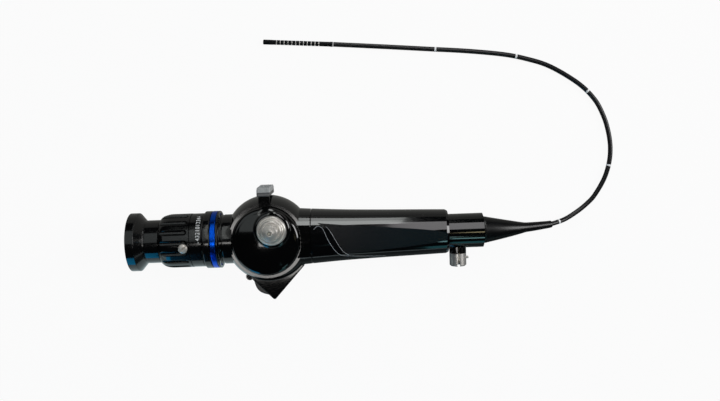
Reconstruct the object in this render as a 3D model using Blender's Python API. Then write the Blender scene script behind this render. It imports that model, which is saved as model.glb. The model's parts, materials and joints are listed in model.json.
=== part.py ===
"""Slim flexible endoscope: eyepiece, ball-shaped control housing, grip, and a tube that lies in a wide loop.

The origin is under the pivot of the angulation lever, on the surface that the instrument lies on. The body's
axis runs along +X, from the eyepiece to the insertion tube. +Y is the lever's side and +Z is up, the way the
light post points.
"""

import math

import bmesh
import bpy
from mathutils import Matrix, Vector

# Units and clearances
MM = 0.001
FIT = 0.3 * MM  # gap between two pieces that seat on each other
CUT_THROUGH = 2 * MM  # how far a cutter runs past the wall that it opens
MERGE = 1e-7

# Facets
BIG_STEPS = 24
ROUND_STEPS = 16
SMALL_STEPS = 10
TINY_STEPS = 8
BUNDLE_STEPS = 6
SMOOTH_ANGLE = math.radians(35)
FLAT_ANGLE = math.radians(0.2)

# Eyecup and the window behind it
EYECUP_R = 17.2 * MM  # the instrument rests on this rim
EYECUP_BAND = 4.9 * MM
EYECUP_CONE = 3.9 * MM
EYECUP_NECK = 9.0 * MM
EYECUP_NECK_R = 12.7 * MM
EYECUP_RIM = 1.8 * MM
EYE_HOLLOW = 6.6 * MM
EYE_FLOOR_R = 9.0 * MM
WINDOW_R = 5.6 * MM
WINDOW_T = 1.1 * MM
WINDOW_LEDGE = 1.1 * MM
EYECUP_WEB = 1.0 * MM

# Eyepiece barrel, its lens cell and the ring that drives it
BARREL_R = 10.2 * MM
BARREL_WALL = 2.2 * MM
BARREL_SOCKET = 3.7 * MM  # how far the barrel enters the mount
BUNDLE_WEB_T = 3.0 * MM
BUNDLE_WEB_INSET = 14.0 * MM
CELL_LENGTH = 13.0 * MM
CELL_INSET = 3.0 * MM
CELL_WALL = 1.9 * MM
CELL_LEDGE = 1.0 * MM
LENS_EDGE = 2.0 * MM
LENS_BULGE = 1.2 * MM
LENS_STEPS = 3
CELL_PIN_R = 0.9 * MM
CELL_PIN_TOP = 11.9 * MM
CELL_PIN_ANGLE = math.radians(-90)
DIOPTER_TURN = math.radians(60)  # either way from zero
LENS_LEAD = 1.9 * MM  # travel of the lens cell per radian of the ring
DIOPTER_R = 15.9 * MM
DIOPTER_W = 18.4 * MM
SHOULDER_R = 12.7 * MM
SHOULDER_W = 7.2 * MM
SHOULDER_STEPS = 4
FLUTES = 16
FLUTE_CUTTER_R = 1.85 * MM
FLUTE_DEPTH = 1.3 * MM
FLUTE_START = 1.0 * MM
GROOVE_STEPS = 8
DIOPTER_SCREW_ANGLE = math.radians(98.4)
DIOPTER_SCREW_INSET = 3.4 * MM
DIOPTER_SCREW_R = 2.7 * MM
DIOPTER_SCREW_SINK = 0.7 * MM
DIOPTER_SCREW_RIM = 1.0 * MM
DIOPTER_SCREW_DOME = 0.9 * MM
DIOPTER_SCREW_CROWN_R = 2.35 * MM
DIOPTER_SCREW_FLAT_R = 1.35 * MM
DIOPTER_SCREW_SHANK_R = 1.2 * MM
SLOT_W = 0.7 * MM
SLOT_DEPTH = 0.8 * MM

# Rings between the diopter ring and the ball
SCALE_W = 7.4 * MM
SCALE_R = 15.8 * MM
FLANGE_W = 4.0 * MM
FLANGE_R = 16.9 * MM
FLANGE_STEP_R = 15.2 * MM
BLUE_W = 3.0 * MM
RETAINER_W = 1.0 * MM
MOUNT_STAND = 2.3 * MM  # from the ball's side to the face that the eyepiece screws against
MOUNT_R = 14.6 * MM
MOUNT_SINK = 5.6 * MM  # from the ball's side to the floor of its pocket
MOUNT_GROOVE_INSET = 1.1 * MM
MOUNT_GROOVE_W = 1.0 * MM
MOUNT_GROOVE_DEPTH = 0.6 * MM
MOUNT_SPIGOT_R = 7.7 * MM
MOUNT_SPIGOT = 1.9 * MM

# Ball housing, heights from the body's axis
BALL_R = 25.4 * MM
BALL_STEPS = 8
LAND_Z = 12.9 * MM
BALL_WALL = 7.9 * MM
REAR_WALL = 5.2 * MM
REAR_LEDGE_R = 13.5 * MM
REAR_COVER_R = 15.0 * MM
REAR_COVER_T = 2.0 * MM
COVER_SCREWS = 3
COVER_SCREW_R = 1.7 * MM
COVER_SCREW_HEAD = 0.9 * MM
COVER_SCREW_CIRCLE_R = 12.0 * MM
COVER_SCREW_SHANK_R = 0.7 * MM
COVER_SCREW_LENGTH = 2.4 * MM
NECK_R = 16.9 * MM
NECK_SINK = 7.8 * MM
NECK_BORE_R = 11.3 * MM

# Front cover and the light post on it
COVER_SEAT = 2.5 * MM  # how far the cover's wall stands outside the cavity
COVER_WALL = 1.6 * MM
COVER_RIM_Z = 16.3 * MM
COVER_EDGE = 0.7 * MM
COVER_TOP_Z = 19.8 * MM
COVER_ROOF_RIM_Z = 15.5 * MM
COVER_ROOF_R = 10.5 * MM
COVER_ROOF_Z = 18.0 * MM
COVER_ROOF_TOP_Z = 18.4 * MM
DOME_STEPS = 4
POST_X = 4.2 * MM
POST_Y = 7.2 * MM
POST_BOSS_R = 10.8 * MM
POST_BOSS_TOP_Z = 20.8 * MM
POST_BOSS_EDGE = 1.2 * MM
POST_BOSS_BORE_R = 4.6 * MM
POST_HOLE_R = 5.6 * MM
POST_RING_R = 8.4 * MM
POST_RING_H = 2.6 * MM
POST_EDGE = 0.5 * MM
POST_SEAT_R = 6.1 * MM
POST_SEAT_H = 2.6 * MM
POST_NECK_R = 4.2 * MM
POST_NECK_H = 4.0 * MM
POST_CONE_H = 1.6 * MM
POST_TIP_R = 1.9 * MM
POST_TIP_H = 2.0 * MM
LIGHT_BUNDLE_R = 0.85 * MM

# Angulation lever, on the vertical pivot
LEVER_TURN = math.radians(38)  # either way
ARM_T = 1.9 * MM
ARM_GAP = 0.35 * MM  # over the land
ARM_W = 6.5 * MM
ARM_HUB_R = 6.0 * MM
HUB_STEPS = 12
TENON_W = 4.5 * MM
TENON_LENGTH = 3.1 * MM
PAD_W = 7.7 * MM
PAD_GAP = 0.8 * MM  # over the ball's side
PAD_SIDE = 4.2 * MM
PAD_CROWN = 1.1 * MM
PAD_TEETH = 9
PAD_TOOTH = 0.4 * MM
PAD_LOW_Z = -5.0 * MM
PAD_HIGH_Z = 17.2 * MM
AXLE_R = 1.5 * MM
AXLE_COLLAR_R = 3.0 * MM
AXLE_COLLAR_H = 1.9 * MM
HUB_NUT_R = 3.2 * MM
HUB_NUT_H = 1.8 * MM
NUT_SIDES = 6
DRUM_R = 6.5 * MM
DRUM_H = 3.8 * MM
DRUM_Z = 5.5 * MM
DRUM_GROOVE_R = 4.8 * MM
DRUM_GROOVE_W = 1.5 * MM
CHASSIS_W = 12.0 * MM
CHASSIS_LOW_Z = 1.9 * MM
CHASSIS_HIGH_Z = 9.0 * MM
CHASSIS_PLATE = 1.2 * MM
CHASSIS_WINDOW = 9.0 * MM

# Pull wires, their coil pipes and the two fibre bundles
WIRE_R = 0.35 * MM
WIRE_Y = 5.45 * MM
WIRE_START = -2.0 * MM
WIRE_END = 52.0 * MM
PIPE_R = 1.0 * MM
PIPE_BORE_R = 0.65 * MM
PIPE_START = 38.0 * MM
PIPE_STRAIGHT = 22.0 * MM
PIPE_END_Y = 3.6 * MM
PIPE_END_Z = 3.2 * MM
PIPE_STEPS = 6
IMAGE_BUNDLE_R = 1.2 * MM
IMAGE_FACE_INSET = 0.6 * MM
LIGHT_RUN_Z = 4.2 * MM
LIGHT_BENDS = (  # x, y and height from the axis, in millimetres
    (4.9, 6.6, 19.1),
    (7.1, 5.2, 17.3),
    (10.1, 3.2, 16.4),
    (12.8, 1.4, 14.9),
    (15.4, 0.4, 11.2),
    (17.5, 0.0, 6.7),
    (21.2, 0.0, 4.6),
)
STAY_T = 2.0 * MM

# Finger rest, in the plane of the body; points are x and height over the ball's lowest point in the plane
REST_T = 9.0 * MM
REST_BEVEL = 0.9 * MM
REST_BASE = (-10.8 * MM, 1.5 * MM)
REST_APEX = (2.2 * MM, -12.0 * MM)
REST_APEX_R = 1.6 * MM
REST_HEEL = (20.8 * MM, 8.7 * MM)
REST_ROOT = (4.0 * MM, 13.4 * MM)
REST_BOSS = (-11.9 * MM, 3.2 * MM)
REST_BOSS_R = 2.3 * MM
REST_SCREW_R = 1.5 * MM
REST_SCREW_HEAD = 0.8 * MM
REST_SCREW_LENGTH = 5.0 * MM
REST_PAD_FROM = 1.6 * MM
REST_PAD_LENGTH = 12.6 * MM
REST_PAD_BULGE = 2.5 * MM
REST_PAD_DEPTH = 1.1 * MM
REST_PAD_T = 7.0 * MM
REST_PAD_STEPS = 8

# Grip
GRIP_R = 16.3 * MM
GRIP_END_R = 13.0 * MM
GRIP_LENGTH = 80.3 * MM
GRIP_WAIST = ((19.5 * MM, 15.1 * MM), (41.8 * MM, 14.2 * MM), (64.1 * MM, 13.5 * MM))  # distance, radius
GRIP_EDGE = 1.4 * MM
GRIP_BORE_R = 11.0 * MM
GRIP_END_WALL = 3.0 * MM
GRIP_SPIGOT_R = 13.7 * MM
GRIP_SPIGOT = 2.9 * MM
SEAL_W = 1.2 * MM
SEAL_DEPTH = 0.8 * MM
SEAL_INSET = 0.9 * MM
SCOOP_ANGLE = math.radians(25)
SCOOP_FLOOR = 13.1 * MM
SCOOP_TOP = 18.0 * MM
SCOOP_NEAR = 31.0 * MM
SCOOP_FAR = 44.0 * MM
SCOOP_SLOPE = 1.2 * MM
SCOOP_STEPS = 6
SCOOP_HALF = 10.5 * MM

# Collar at the grip's far end, and the vent connector on it
COLLAR_R = 10.1 * MM
COLLAR_W = 20.5 * MM
COLLAR_BORE_R = 7.2 * MM
COLLAR_SPIGOT_R = 8.0 * MM
COLLAR_SPIGOT = 3.6 * MM
COLLAR_SHOULDER = 2.8 * MM
COLLAR_NOSE_R = 6.0 * MM
COLLAR_NOSE = 4.7 * MM
COLLAR_NOSE_BORE_R = 4.0 * MM
ANCHOR_T = 5.7 * MM
ANCHOR_NOSE = 7.0 * MM
PORT_INSET = 5.6 * MM
PORT_BOSS_R = 4.4 * MM
PORT_BOSS_TOP = 13.0 * MM
PORT_PIPE_R = 3.0 * MM
PORT_PIPE_BORE_R = 1.5 * MM
PORT_PIPE_BOTTOM = 7.6 * MM
PORT_PIPE_TOP = 15.2 * MM
VENT_R = 4.95 * MM
VENT_LENGTH = 7.6 * MM
VENT_EDGE = 0.6 * MM
VENT_SLOTS = 2
VENT_SLOT_W = 1.6 * MM
VENT_SLOT_LENGTH = 3.6 * MM
PLUNGER_R = 2.9 * MM
PLUNGER_H = 2.8 * MM
PLUNGER_RECESS = 0.9 * MM
PLUNGER_STEM_R = 1.1 * MM
PLUNGER_STEM_BOTTOM = 8.4 * MM
PIN_R = 0.7 * MM
PIN_OUT = 1.3 * MM
PIN_HEIGHT = 2.8 * MM

# Boot, insertion tube and the route that both follow; the route's points are x, y, z in millimetres
BOOT_R = 8.1 * MM
BOOT_WAIST_R = 2.9 * MM
BOOT_WAIST_AT = 26.0 * MM
BOOT_END_R = 2.1 * MM
BOOT_LENGTH = 44.0 * MM
BOOT_STEPS = 7
BOOT_SIDES = 12
TUBE_R = 1.4 * MM
TUBE_STEP = 8.0 * MM
TUBE_START_GAP = 0.9 * MM
CORD_Z = 1.57
ROUTE_STEPS = 24  # between two of the route's points
ROUTE = (
    (127.1, 0.0, 17.2),
    (134.0, 0.0, 17.1),
    (141.0, 0.0, 16.6),
    (148.5, 0.0, 15.4),
    (156.0, 0.1, 13.4),
    (163.2, 0.3, 10.9),
    (170.3, 0.7, 8.1),
    (179.0, 2.8, 5.0),
    (187.4, 7.2, 2.8),
    (193.5, 11.7, 1.85),
    (198.0, 16.4, CORD_Z),
    (203.7, 26.0, CORD_Z),
    (206.8, 35.7, CORD_Z),
    (207.6, 45.3, CORD_Z),
    (206.3, 55.1, CORD_Z),
    (203.3, 64.8, CORD_Z),
    (198.0, 74.6, CORD_Z),
    (188.2, 84.5, CORD_Z),
    (171.6, 94.9, CORD_Z),
    (157.3, 100.0, CORD_Z),
    (143.0, 103.2, CORD_Z),
    (121.5, 105.9, CORD_Z),
    (100.0, 107.8, CORD_Z),
    (78.5, 109.7, CORD_Z),
    (57.1, 111.5, CORD_Z),
    (42.3, 112.7, CORD_Z),
)

# Bending section: a sleeve, a chain of links and the tip, along a straight line from the tube's end
BENDING_HEADING = math.radians(176.0)
SLEEVE_R = 1.5 * MM
SLEEVE_RING = 1.8 * MM
SLEEVE_LENGTH = 8.3 * MM
LINKS = 11
LINK_PITCH = 2.3 * MM
LINK_R = 1.4 * MM
LINK_BORE_R = 0.65 * MM
LINK_GAP = 0.6 * MM  # between the rims of two links, which close on the inside of a bend
EAR_R = 0.5 * MM
EAR_T = 0.3 * MM
EAR_STEPS = 4
EAR_SINK = 0.02 * MM  # under the link's round
EAR_NECK_W = 0.6 * MM
EAR_ROOT = 0.6 * MM  # how far an ear's neck runs into the rim
TIP_LENGTH = 7.9 * MM
TIP_R = 1.45 * MM
OBJECTIVE_R = 0.6 * MM
OBJECTIVE_T = 0.9 * MM

# Heights and stations that follow from the sizes above
AXIS_Z = EYECUP_R
REAR_Z = -AXIS_Z
MOUNT_FACE = BALL_R + MOUNT_STAND
MOUNT_SEAT = BALL_R - MOUNT_SINK
CAVITY_R = BALL_R - BALL_WALL
NECK_START = BALL_R - NECK_SINK
NECK_END = BALL_R
COVER_R = CAVITY_R + COVER_SEAT
PAD_IN = BALL_R + PAD_GAP
ARM_REACH = PAD_IN - FIT
TENON_REACH = ARM_REACH + TENON_LENGTH
BARREL_BORE_R = BARREL_R - BARREL_WALL
CELL_R = BARREL_BORE_R - FIT
CELL_BORE_R = CELL_R - CELL_WALL
LENS_R = CELL_BORE_R - FIT
CAVITY_FLOOR_Z = REAR_Z + REAR_WALL
REAR_LEDGE_Z = REAR_Z + REAR_COVER_T + FIT
RETAINER_X = -MOUNT_FACE - FIT
BLUE_X = RETAINER_X - RETAINER_W - FIT
FLANGE_X = BLUE_X - BLUE_W - FIT
SCALE_X = FLANGE_X - FLANGE_W - FIT
DIOPTER_X = SCALE_X - SCALE_W - FIT
EYECUP_X = DIOPTER_X - DIOPTER_W - FIT
EYECUP_CONE_X = EYECUP_X - EYECUP_NECK
EYECUP_BAND_X = EYECUP_CONE_X - EYECUP_CONE
EYECUP_FACE_X = EYECUP_BAND_X - EYECUP_BAND
WINDOW_SEAT_X = EYECUP_FACE_X + EYE_HOLLOW
BARREL_FACE_X = WINDOW_SEAT_X + WINDOW_T + FIT + EYECUP_WEB + FIT
BARREL_END_X = -MOUNT_FACE + BARREL_SOCKET
BUNDLE_WEB_X = BARREL_END_X - BUNDLE_WEB_INSET
CELL_X = BARREL_FACE_X + CELL_INSET
CELL_PIN_X = CELL_X + CELL_LENGTH - CELL_PIN_R - FIT
BORE_FIT_R = BARREL_R + FIT
GROOVE_R = CELL_PIN_TOP + FIT
DIOPTER_SCREW_SEAT = DIOPTER_R - DIOPTER_SCREW_SINK
GRIP_START = NECK_END + FIT
NECK_SOCKET = GRIP_SPIGOT + FIT
COVER_Z = LAND_Z + FIT
ARM_Z = LAND_Z + ARM_GAP
ARM_TOP_Z = ARM_Z + ARM_T
WINDOW_SWEEP = LEVER_TURN + math.asin((ARM_W / 2 + FIT) / (COVER_R - COVER_WALL))
POST_Z = POST_BOSS_TOP_Z + FIT
POST_SEAT_Z = POST_Z + POST_RING_H
POST_NECK_Z = POST_SEAT_Z + POST_SEAT_H
POST_CONE_Z = POST_NECK_Z + POST_NECK_H
POST_TIP_Z = POST_CONE_Z + POST_CONE_H
POST_TOP_Z = POST_TIP_Z + POST_TIP_H
COLLAR_X = GRIP_START + GRIP_LENGTH + FIT
COLLAR_END_X = COLLAR_X + COLLAR_W
ANCHOR_X = COLLAR_END_X - COLLAR_SHOULDER - FIT - ANCHOR_T
RUN_END_X = ANCHOR_X - FIT
PORT_X = COLLAR_X + PORT_INSET
VENT_START = PORT_BOSS_TOP + FIT
VENT_END = VENT_START + VENT_LENGTH
BOOT_X = COLLAR_END_X + FIT
EAR_OUT_Z = LINK_R - EAR_T - EAR_SINK
EAR_IN_Z = EAR_OUT_Z - FIT - EAR_T

BODY_AXIS = Matrix.Translation((0, 0, AXIS_Z)) @ Matrix.Rotation(math.radians(90), 4, "Y")
PIVOT = Matrix.Translation((0, 0, AXIS_Z))
POST = Matrix.Translation((POST_X, POST_Y, AXIS_Z))
PORT = Matrix.Translation((PORT_X, 0, AXIS_Z)) @ Matrix.Rotation(math.radians(90), 4, "X")
ALONG_X = PIVOT @ Matrix(((0, 0, 1, 0), (1, 0, 0, 0), (0, 1, 0, 0), (0, 0, 0, 1)))

# Colour, roughness and metallic value of each finish
FINISHES = {
    "black_metal": ((0.012, 0.012, 0.014), 0.25, 0.6),
    "black_plastic": ((0.010, 0.011, 0.013), 0.18, 0.0),
    "black_rubber": ((0.018, 0.018, 0.020), 0.45, 0.0),
    "tube_black": ((0.015, 0.015, 0.016), 0.35, 0.0),
    "blue_ring": ((0.01, 0.16, 0.85), 0.25, 0.3),
    "nickel": ((0.78, 0.75, 0.70), 0.22, 1.0),
    "steel": ((0.62, 0.62, 0.63), 0.35, 1.0),
    "brass": ((0.72, 0.55, 0.26), 0.3, 1.0),
    "glass": ((0.80, 0.88, 0.92), 0.05, 0.0),
    "fibre": ((0.75, 0.70, 0.55), 0.5, 0.0),
}


def clear_scene():
    for old in list(bpy.data.objects):
        bpy.data.objects.remove(old, do_unlink=True)


def look_of(name):
    """The material of that name, made when it is first asked for."""
    material = bpy.data.materials.get(name)
    if material is None:
        colour, roughness, metallic = FINISHES[name]
        material = bpy.data.materials.new(name)
        material.use_nodes = True
        shader = material.node_tree.nodes["Principled BSDF"]
        shader.inputs["Base Color"].default_value = (*colour, 1)
        shader.inputs["Roughness"].default_value = roughness
        shader.inputs["Metallic"].default_value = metallic
        material.diffuse_color = (*colour, 1)
    return material


def solid(name, mesh_builder, frame, look=None):
    """An object from a bmesh, with its faces turned outwards, placed by a matrix."""
    bmesh.ops.remove_doubles(mesh_builder, verts=mesh_builder.verts, dist=MERGE)
    bmesh.ops.recalc_face_normals(mesh_builder, faces=mesh_builder.faces)
    mesh = bpy.data.meshes.new(name)
    mesh_builder.to_mesh(mesh)
    mesh_builder.free()
    piece = bpy.data.objects.new(name, mesh)
    piece.matrix_world = frame
    bpy.context.collection.objects.link(piece)
    if look:
        mesh.materials.append(look_of(look))
    return piece


def smooth(piece):
    piece.data.shade_smooth()
    piece.data.set_sharp_from_angle(angle=SMOOTH_ANGLE)
    return piece


def turned(name, outline, segments, frame, look=None, ring=False):
    """Turn an outline of (along, radius) points about the local Z axis; a ring's outline closes on itself."""
    shape = bmesh.new()
    points = [shape.verts.new((radius, 0, along)) for along, radius in outline]
    edges = [shape.edges.new(pair) for pair in zip(points, points[1:])]
    if ring:
        edges.append(shape.edges.new((points[-1], points[0])))
    bmesh.ops.spin(
        shape, geom=points + edges, axis=(0, 0, 1), cent=(0, 0, 0), steps=segments, angle=math.tau
    )
    return smooth(solid(name, shape, frame, look))


def rod(name, radius, low, high, segments, frame, look=None):
    """A plain cylinder along the local Z axis."""
    return turned(name, [(low, 0), (low, radius), (high, radius), (high, 0)], segments, frame, look)


def pipe(name, radius, bore, low, high, segments, frame, look=None):
    """A straight tube along the local Z axis."""
    outline = [(low, bore), (low, radius), (high, radius), (high, bore)]
    return turned(name, outline, segments, frame, look, ring=True)


def prism(name, outline, low, high, frame, look=None, bevel=0.0):
    """A flat outline of (x, y) points drawn out along the local Z axis, its faces' edges bevelled."""
    shape = bmesh.new()
    face = shape.faces.new([shape.verts.new((x, y, low)) for x, y in outline])
    grown = bmesh.ops.extrude_face_region(shape, geom=[face])["geom"]
    top = [item for item in grown if isinstance(item, bmesh.types.BMVert)]
    bmesh.ops.translate(shape, verts=top, vec=(0, 0, high - low))
    bmesh.ops.recalc_face_normals(shape, faces=shape.faces)
    if bevel:
        rims = [edge for edge in shape.edges if len({round(v.co.z / MM, 4) for v in edge.verts}) == 1]
        bmesh.ops.bevel(shape, geom=rims, offset=bevel, segments=2, profile=0.5, affect="EDGES")
    return smooth(solid(name, shape, frame, look))


def box(name, low, high, frame, look=None):
    (x0, y0, z0), (x1, y1, z1) = low, high
    return prism(name, [(x0, y0), (x1, y0), (x1, y1), (x0, y1)], z0, z1, frame, look)


def swept(name, centres, radii, sides, look=None, bores=None):
    """A tube of changing radius through the points given, hollow where bores are given."""
    shape = bmesh.new()
    outer = [ring_at(shape, centres, i, radii[i], sides) for i in range(len(centres))]
    walls = [outer]
    if bores:
        walls.append([ring_at(shape, centres, i, bores[i], sides) for i in range(len(centres))])
    for wall in walls:
        for first, second in zip(wall, wall[1:]):
            bridge(shape, first, second)
    if bores:
        for end in (0, -1):
            bridge(shape, walls[0][end], walls[1][end])
    else:
        shape.faces.new(outer[0])
        shape.faces.new(outer[-1])
    return smooth(solid(name, shape, Matrix.Identity(4), look))


def ring_at(shape, centres, index, radius, sides):
    """A ring of points square to the path at one of its points, its first point towards +Y."""
    before = centres[max(index - 1, 0)]
    after = centres[min(index + 1, len(centres) - 1)]
    heading = (after - before).normalized()
    side = (Vector((0, 1, 0)) - heading * heading.y).normalized()
    up = heading.cross(side)
    turns = [math.tau * i / sides for i in range(sides)]
    return [
        shape.verts.new(centres[index] + radius * (math.cos(a) * side + math.sin(a) * up)) for a in turns
    ]


def bridge(shape, first, second):
    count = len(first)
    for i in range(count):
        j = (i + 1) % count
        shape.faces.new((first[i], first[j], second[j], second[i]))


def combine(piece, tool, operation):
    """Apply a Boolean of one solid with another, and remove the tool."""
    change = piece.modifiers.new(operation.lower(), "BOOLEAN")
    change.operation = operation
    change.solver = "EXACT"
    change.object = tool
    bpy.context.view_layer.update()
    bpy.context.view_layer.objects.active = piece
    with bpy.context.temp_override(object=piece, active_object=piece, selected_objects=[piece]):
        bpy.ops.object.modifier_apply(modifier=change.name)
    bpy.data.objects.remove(tool, do_unlink=True)
    return simplify(piece)


def cut(piece, *tools):
    for tool in tools:
        combine(piece, tool, "DIFFERENCE")
    return piece


def fuse(piece, *tools):
    for tool in tools:
        combine(piece, tool, "UNION")
    return piece


def simplify(piece):
    """Merge the slivers that Booleans leave in flat faces."""
    shape = bmesh.new()
    shape.from_mesh(piece.data)
    bmesh.ops.dissolve_limit(shape, angle_limit=FLAT_ANGLE, verts=shape.verts, edges=shape.edges)
    shape.to_mesh(piece.data)
    shape.free()
    return smooth(piece)


def arc(centre, radius, start, stop, steps):
    """Points of an arc as (first + r cos, second + r sin), both ends included."""
    angles = [start + (stop - start) * i / steps for i in range(steps + 1)]
    return [(centre[0] + radius * math.cos(a), centre[1] + radius * math.sin(a)) for a in angles]


def around_axis(angle):
    """A frame on the body's axis whose +Y points outwards at an angle from the world's +Y towards +Z."""
    return PIVOT @ Matrix.Rotation(angle, 4, "X")


def outward(angle, along):
    """A frame at a station of the body's axis whose +Z points outwards at that angle."""
    return around_axis(angle) @ Matrix.Translation((along, 0, 0)) @ Matrix.Rotation(-math.pi / 2, 4, "X")


def make_eyecup():
    hollow_r = EYECUP_R - EYECUP_RIM
    seat_r = WINDOW_R + FIT
    seat_end = WINDOW_SEAT_X + WINDOW_T + FIT
    outline = [
        (EYECUP_FACE_X, hollow_r),
        (EYECUP_FACE_X, EYECUP_R),
        (EYECUP_BAND_X, EYECUP_R),
        (EYECUP_CONE_X, EYECUP_NECK_R),
        (EYECUP_X, EYECUP_NECK_R),
        (EYECUP_X, BORE_FIT_R),
        (seat_end + EYECUP_WEB, BORE_FIT_R),
        (seat_end + EYECUP_WEB, seat_r - WINDOW_LEDGE),
        (seat_end, seat_r - WINDOW_LEDGE),
        (seat_end, seat_r),
        (WINDOW_SEAT_X, seat_r),
        (WINDOW_SEAT_X, EYE_FLOOR_R),
    ]
    turned("eyecup", outline, BIG_STEPS, BODY_AXIS, "black_metal", ring=True)
    rod(
        "eyepiece_window", WINDOW_R, WINDOW_SEAT_X, WINDOW_SEAT_X + WINDOW_T, ROUND_STEPS, BODY_AXIS, "glass"
    )


def make_barrel():
    web_end = BUNDLE_WEB_X + BUNDLE_WEB_T
    bundle_hole = IMAGE_BUNDLE_R + FIT
    outline = [
        (BARREL_FACE_X, BARREL_BORE_R),
        (BARREL_FACE_X, BARREL_R),
        (BARREL_END_X, BARREL_R),
        (BARREL_END_X, BARREL_BORE_R),
        (web_end, BARREL_BORE_R),
        (web_end, bundle_hole),
        (BUNDLE_WEB_X, bundle_hole),
        (BUNDLE_WEB_X, BARREL_BORE_R),
    ]
    barrel = turned("eyepiece_barrel", outline, ROUND_STEPS, BODY_AXIS, "steel", ring=True)
    travel = LENS_LEAD * DIOPTER_TURN
    half_width = CELL_PIN_R + FIT
    reach = travel + half_width
    slot = box(
        "slot_cutter",
        (CELL_PIN_X - reach, BARREL_BORE_R - CUT_THROUGH, -half_width),
        (CELL_PIN_X + reach, BARREL_R + CUT_THROUGH, half_width),
        around_axis(CELL_PIN_ANGLE),
    )
    cut(barrel, slot)


def make_lens_cell():
    """The cell slides in the barrel; its pin stands through a slot into the ring's helical groove."""
    seat = CELL_X + LENS_EDGE + FIT
    outline = [
        (CELL_X, CELL_BORE_R),
        (CELL_X, CELL_R),
        (CELL_X + CELL_LENGTH, CELL_R),
        (CELL_X + CELL_LENGTH, CELL_BORE_R - CELL_LEDGE),
        (seat, CELL_BORE_R - CELL_LEDGE),
        (seat, CELL_BORE_R),
    ]
    cell = turned("lens_cell", outline, ROUND_STEPS, BODY_AXIS, "brass", ring=True)
    root = CELL_R - (CELL_WALL + CELL_LEDGE) / 2
    pin = rod("cell_pin", CELL_PIN_R, root, CELL_PIN_TOP, TINY_STEPS, outward(CELL_PIN_ANGLE, CELL_PIN_X))
    fuse(cell, pin)
    middle = CELL_X + LENS_EDGE / 2
    half = LENS_EDGE / 2
    ball_r = (LENS_R**2 + LENS_BULGE**2) / (2 * LENS_BULGE)
    spread = math.asin(LENS_R / ball_r)
    front = arc((middle - half + ball_r - LENS_BULGE, 0), ball_r, math.pi, math.pi - spread, LENS_STEPS)
    back = arc((middle + half - ball_r + LENS_BULGE, 0), ball_r, spread, 0, LENS_STEPS)
    turned("ocular_lens", front + back, ROUND_STEPS, BODY_AXIS, "glass")


def helical_groove():
    """Cutter for the groove in the diopter ring: the pin's width, along a helix of the cell's lead."""
    shape = bmesh.new()
    half_width = CELL_PIN_R + FIT
    overrun = half_width / CELL_PIN_TOP
    spread = DIOPTER_TURN + overrun
    rings = []
    for i in range(GROOVE_STEPS + 1):
        turn = spread * (2 * i / GROOVE_STEPS - 1)
        angle = CELL_PIN_ANGLE + turn
        centre = CELL_PIN_X - LENS_LEAD * turn
        corners = [
            (centre - half_width, BARREL_R - FIT),
            (centre + half_width, BARREL_R - FIT),
            (centre + half_width, GROOVE_R),
            (centre - half_width, GROOVE_R),
        ]
        rings.append([shape.verts.new((x, r * math.cos(angle), r * math.sin(angle))) for x, r in corners])
    for first, second in zip(rings, rings[1:]):
        bridge(shape, first, second)
    shape.faces.new(rings[0])
    shape.faces.new(rings[-1])
    return solid("groove_cutter", shape, PIVOT)


def flute_cutter(index):
    """A round-nosed cutter along the body, half way between two ridges."""
    angle = DIOPTER_SCREW_ANGLE + math.tau * (index + 0.5) / FLUTES
    nose = DIOPTER_X - FLUTE_START
    tail = DIOPTER_X - DIOPTER_W - CUT_THROUGH
    outline = [(tail, 0), (tail, FLUTE_CUTTER_R)]
    outline += arc((nose - FLUTE_CUTTER_R, 0), FLUTE_CUTTER_R, math.pi / 2, 0, 2)
    centre_r = DIOPTER_R - FLUTE_DEPTH + FLUTE_CUTTER_R
    frame = around_axis(angle) @ Matrix.Translation((0, centre_r, 0)) @ Matrix.Rotation(math.pi / 2, 4, "Y")
    return turned("flute_cutter", outline, BUNDLE_STEPS, frame)


def make_diopter_ring():
    start = DIOPTER_X - DIOPTER_W
    rise = DIOPTER_R - SHOULDER_R
    shoulder = [
        (start + SHOULDER_W * (1 - math.cos(a)), SHOULDER_R + rise * math.sin(a))
        for a in [math.pi / 2 * i / SHOULDER_STEPS for i in range(SHOULDER_STEPS + 1)]
    ]
    outline = shoulder + [(DIOPTER_X, DIOPTER_R), (DIOPTER_X, BORE_FIT_R), (start, BORE_FIT_R)]
    ring = turned("diopter_ring", outline, FLUTES * 2, BODY_AXIS, "black_metal", ring=True)
    for index in range(FLUTES):
        cut(ring, flute_cutter(index))
    cut(ring, helical_groove())
    at_screw = outward(DIOPTER_SCREW_ANGLE, DIOPTER_X - DIOPTER_SCREW_INSET)
    top = DIOPTER_R + CUT_THROUGH
    cut(
        ring,
        rod("seat", DIOPTER_SCREW_R + FIT, DIOPTER_SCREW_SEAT, top, SMALL_STEPS, at_screw),
        rod("hole", DIOPTER_SCREW_SHANK_R + FIT, BARREL_R - FIT, top, TINY_STEPS, at_screw),
    )
    head = DIOPTER_SCREW_SEAT + FIT
    rim = head + DIOPTER_SCREW_RIM
    crown = rim + DIOPTER_SCREW_DOME
    outline = [
        (BORE_FIT_R + FIT, 0),
        (BORE_FIT_R + FIT, DIOPTER_SCREW_SHANK_R),
        (head, DIOPTER_SCREW_SHANK_R),
        (head, DIOPTER_SCREW_R),
        (rim, DIOPTER_SCREW_R),
        ((rim + crown) / 2, DIOPTER_SCREW_CROWN_R),
        (crown, DIOPTER_SCREW_FLAT_R),
        (crown, 0),
    ]
    screw = turned("diopter_screw", outline, SMALL_STEPS, at_screw, "nickel")
    reach = DIOPTER_SCREW_R + CUT_THROUGH
    slot = box(
        "slot_cutter",
        (-reach, -SLOT_W / 2, crown - SLOT_DEPTH),
        (reach, SLOT_W / 2, crown + CUT_THROUGH),
        at_screw,
    )
    cut(screw, slot)


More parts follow.
